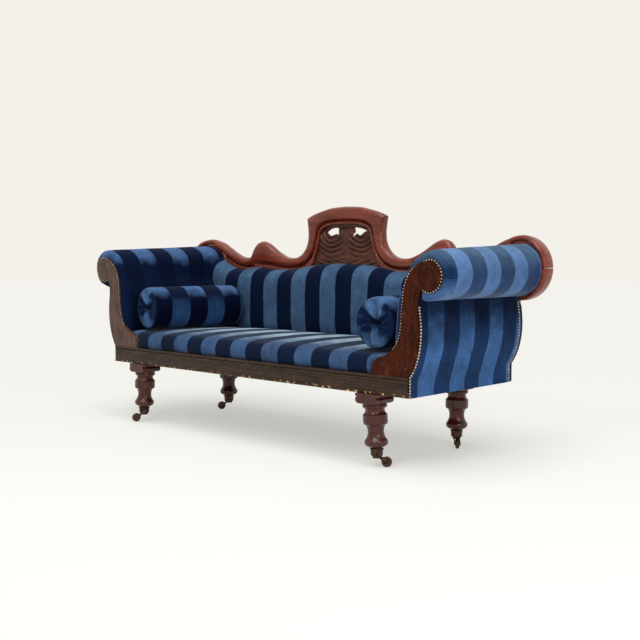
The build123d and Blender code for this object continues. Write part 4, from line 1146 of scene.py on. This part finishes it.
# %% Carved panel
PANEL_TOP, PANEL_FOOT, PANEL_HALF = 900, CREST_SEAT + 0.5, 215
CARVING_THICKNESS = 12
HOLE_NEAR, HOLE_FAR, HOLE_TOP, HOLE_FOOT = 46, 126, 882, 844
SWAG_CENTRE, SWAG_TOP, SWAG_HALF, SWAG_DROP = 84, 880, 56, 52


def in_hole(place):
    """Whether a place falls in one of the two pierced holes, which are wedges that narrow outwards."""
    width, height = place.x / MM, place.z / MM
    share = (abs(width) - HOLE_NEAR) / (HOLE_FAR - HOLE_NEAR)
    top = HOLE_TOP - 16 * share ** 2
    foot = HOLE_FOOT + 20 * share + 5 * math.sin(9 * share)
    return 0 < share < 1 and foot < height < top


def cut_out(piece, chosen):
    """Delete the points of a piece that are chosen by their place."""
    bpy.ops.object.mode_set(mode="EDIT")
    bpy.ops.mesh.select_all(action="DESELECT")
    bpy.ops.object.mode_set(mode="OBJECT")
    for point in piece.data.vertices:
        point.select = chosen(point.co)
    bpy.ops.object.mode_set(mode="EDIT")
    bpy.ops.mesh.delete(type="VERT")
    bpy.ops.object.mode_set(mode="OBJECT")


def carved_point(share_across, share_up):
    width = PANEL_HALF * (2 * share_across - 1)
    height = PANEL_FOOT + (PANEL_TOP - PANEL_FOOT) * share_up
    away = abs(width)
    hang = math.hypot((away - SWAG_CENTRE) / SWAG_HALF, min(height - SWAG_TOP, 0) / SWAG_DROP)
    hang += 0.14 * ripple(14, away * MM, height * MM, 2.0)
    fold = abs(math.sin(math.pi * hang / 0.42)) * (1 - 0.8 * ease(hang, 1.5, 2.7))
    on_swag = ease(away, 12, 26) * (1 - ease(height, 856, 876))
    stem = math.exp(-(away / (13 + 16 * ease(height, 760, 700))) ** 2)
    feather = abs(math.sin((height - 0.25 * away) / 6)) * (1 - ease(height, 730, 770))
    depth = 18 - 7 * fold * on_swag - 6 * stem - 2.5 * feather - 4 * ease(height, 876, 886)
    return spot(width, CREST_FRONT + depth, height)


carving = shaped_grid("crest_carving", 220, 110, carved_point)
cut_out(carving, in_hole)
thicken(carving, CARVING_THICKNESS, (0, -1, 0))
dress(carving, carved_wood, "crest_wood", ["crest_carved_panel"])

# %% [markdown]
# A thick rounded rim closes the back of each roll. Its section is turned round the volute's centre, and
# the rim stands forward only outside the roll, so it fades where the crest runs into it. The upper and the
# lower half are two pieces, because the real rim has a joint at the side.

# %% End volutes
VOLUTE_X, VOLUTE_Z, VOLUTE_RADIUS = 917, 713, 125
RIM_FORWARD, RIM_LEAST = 25, 6
RIM_INSIDE, RIM_MIDDLE = 103.4, 60


def volute_rule(start, end):
    """The rule for a stretch of the rim between two angles, in degrees from the outer side."""
    def volute_point(share_turn, share_round):
        inside = min(max((share_turn - 0.01) / 0.98, 0), 1)
        angle = math.radians(start + (end - start) * inside)
        outward = math.cos(angle)
        front = CREST_FRONT - RIM_LEAST - (RIM_FORWARD - RIM_LEAST) * ease(outward, 0.15, 0.6)
        plate = CREST_FRONT + 2
        section = ((0, CREST_BACK), (RIM_MIDDLE, CREST_BACK), (112, CREST_BACK), (121, CREST_BACK - 2),
                   (VOLUTE_RADIUS, CREST_BACK - 8), (126, (front + CREST_BACK) / 2),
                   (VOLUTE_RADIUS, front + 10), (122, front + 4), (117, front + 0.5), (112, front),
                   (107, front + 2), (104, front + 7), (RIM_INSIDE, front + 13), (RIM_INSIDE, plate),
                   (RIM_MIDDLE, plate), (0, plate))
        radius, depth = between(section, share_round)
        if share_turn in (0, 1):
            radius, depth = RIM_MIDDLE, CREST_BACK - 15
        return spot(VOLUTE_X + radius * math.cos(angle), depth, VOLUTE_Z + radius * math.sin(angle))
    return volute_point


for half, start, end in (("upper", 0.2, 180), ("lower", 180, 359.8)):
    for side in ("right", "left"):
        rule = volute_rule(start, end) if side == "right" else left_of(volute_rule(start, end))
        rim = shaped_grid(f"{side}_{half}_rim", 90, 45, rule)
        bpy.ops.object.shade_smooth_by_angle(angle=SMOOTH_ANGLE)
        stands_for = f"{side}_end_volute" if half == "upper" else "volute_returns"
        dress(rim, crest_wood, "crest_wood", [stands_for])

# %% [markdown]
# A low spiral is carved into each scroll of the facings. It could be cut into the facing, but a round bead
# that winds in to an eye is simpler, sunk so that only its crown stands out.

# %% Scroll carving
EYE = (946, 689)
SPIRAL_TURNS = 1.9
SPIRAL_START = math.radians(105)
SPIRAL_RADIUS, SPIRAL_SHRINK = 41, 35
BEAD_RADIUS, BEAD_SHRINK = 4.2, 1.4
BEAD_SUNK = 1.4
FACING_FRONT = (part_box("right_arm_facing")[0].y - FRONT_Y) / MM


def spiral_point(share_round, share_along):
    turn = SPIRAL_START - 2 * math.pi * SPIRAL_TURNS * share_along
    radius = SPIRAL_RADIUS - SPIRAL_SHRINK * share_along ** 0.8
    bead = 0.0 if share_along in (0, 1) else BEAD_RADIUS - BEAD_SHRINK * share_along
    angle = 2 * math.pi * share_round
    radius += bead * math.cos(angle)
    depth = FACING_FRONT + BEAD_SUNK - bead * 0.8 * math.sin(angle)
    return spot(EYE[0] + radius * math.cos(turn), depth, EYE[1] + radius * math.sin(turn))


for side, rule, finish in (("right", spiral_point, facing_wood),
                           ("left", left_of(spiral_point), left_facing_painted_light)):
    spiral = shaped_grid(f"{side}_scroll_spiral", 12, 150, rule)
    dress(spiral, finish, "show_wood")

# %% [markdown]
# A row of small brass nails holds the gathered velvet round each facing. One ball is added with an
# operator, and its front half shows as a domed head. It is copied along the facing's edge at an even
# pitch, a little outwards, and the row is one piece.

# %% Border nails
NAIL_RADIUS = 3.0
NAIL_PITCH = 11
NAIL_OUT = 2.4
NAIL_DEPTH = FACING_FRONT + 3.2

clear_selection()
bpy.ops.mesh.primitive_uv_sphere_add(segments=8, ring_count=6, radius=NAIL_RADIUS * MM)
dome = bpy.context.object
dome_points = np.array([point.co[:] for point in dome.data.vertices])
dome_faces = [list(face.vertices) for face in dome.data.polygons]
bpy.data.objects.remove(dome)
edge_walk = np.array([facing_edge(share) for share in np.linspace(0.0, 0.995, 600)])
edge_run = np.concatenate([[0], np.cumsum(np.linalg.norm(np.diff(edge_walk, axis=0), axis=1))])


def edge_at(run):
    """The width and height of the facing's edge after a run along it."""
    return np.array([float(np.interp(run, edge_run, column)) for column in edge_walk.T])


def nail_spot(run):
    """The width and height of the nail after a run along the edge."""
    across, rise = edge_at(run + 2) - edge_at(run - 2)
    outwards = np.array([-rise, across])
    return edge_at(run) + outwards / np.linalg.norm(outwards) * NAIL_OUT


nail_spots = [nail_spot(run) for run in np.arange(NAIL_PITCH / 2, edge_run[-1], NAIL_PITCH)]
for side, way in (("right", 1), ("left", -1)):
    points, faces = [], []
    for width, height in nail_spots:
        centre = np.array(spot(way * width, NAIL_DEPTH, height))
        faces += [[len(points) + corner for corner in face] for face in dome_faces]
        points += [centre + point for point in dome_points]
    mesh = bpy.data.meshes.new(f"{side}_border_nails")
    mesh.from_pydata([tuple(point) for point in points], [], faces)
    border = bpy.data.objects.new(f"{side}_border_nails", mesh)
    bpy.context.scene.collection.objects.link(border)
    close_up(border)
    dress(border, nail_brass, "nail_brass")

# %% [markdown]
# The outside back is a plain dark cloth that is pulled tight over the frame, cut round the volutes and
# turned round the sides. A flat grid is enough for it, with a slight swell and a fold near each side edge.

# %% Outside back
cloth_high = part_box("outside_back_cover")[1]
CLOTH_BACK = (cloth_high.y - FRONT_Y) / MM
CLOTH_TOP = cloth_high.z / MM
CLOTH_INSET = 11.5
CLOTH_THICKNESS = 2.3
WRAP_OUT, WRAP_DEPTH, WRAP_SHARE = 4.5, 26, 0.97


def cloth_half(height):
    """Half the width of the outside back at this height."""
    half = panel_width(min(height, panel_heights[-1])) - CLOTH_INSET
    rise = abs(height - VOLUTE_Z)
    if rise < VOLUTE_RADIUS:
        half = min(half, VOLUTE_X - math.sqrt(VOLUTE_RADIUS ** 2 - rise ** 2) - 0.5)
    return half


def outside_back_point(share_across, share_up):
    height = RAIL_BOTTOM + (CLOTH_TOP - RAIL_BOTTOM) * share_up
    side = 2 * share_across - 1
    below = 1 - ease(height, 565, 582)
    half = cloth_half(height) + WRAP_OUT * below
    width = math.copysign(half * min(abs(side) / WRAP_SHARE, 1), side)
    inside = ease(share_up, 0, 0.1) * (1 - ease(share_up, 0.9, 1)) * (1 - ease(abs(side), 0.9, WRAP_SHARE))
    depth = CLOTH_BACK + inside * (0.8 + 1.5 * ripple(5, width * MM, height * MM, 4.0))
    depth -= WRAP_DEPTH * below * max(abs(side) - WRAP_SHARE, 0) / (1 - WRAP_SHARE)
    return spot(width, depth, height)


outside_back = shaped_grid("outside_back_cloth", 150, 60, outside_back_point)
thicken(outside_back, CLOTH_THICKNESS, BACKWARDS)
dress(outside_back, plain_velvet, "back_cloth", ["outside_back_cover"], fill=0.1)

# %% [markdown]
# A black lining closes the underside. It sags a little between its tacks, and the legs stand in openings
# that are cut out of its grid.

# %% Dust cover
LEG_OPENING = 0.054
SAG = 0.002
LINING_THICKNESS = 1.0
dust_low, dust_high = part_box("dust_cover")
leg_boxes = [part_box(f"{end}_left_leg") for end in ("front", "rear")]
leg_x = abs(leg_boxes[1][0].x + leg_boxes[1][1].x) / 2
leg_depths = [(low.y + high.y) / 2 for low, high in leg_boxes]


def dust_point(share_across, share_back):
    x = dust_low.x + (dust_high.x - dust_low.x) * share_across
    y = dust_low.y + (dust_high.y - dust_low.y) * share_back
    sag = math.sin(math.pi * share_across) * math.sin(math.pi * share_back)
    return Vector((x, y, dust_low.z - SAG * sag + 0.0007 * ripple(9, x, y, 0.0)))


def at_leg(place):
    """Whether a place falls in the opening for a leg."""
    near = abs(abs(place.x) - leg_x) < LEG_OPENING
    return near and min(abs(place.y - depth) for depth in leg_depths) < LEG_OPENING


dust = shaped_grid("dust_cloth", 172, 62, dust_point)
cut_out(dust, at_leg)
thicken(dust, LINING_THICKNESS, (0, 0, -1))
dress(dust, black_lining, "dust_cloth", ["dust_cover"], fill=0.1)
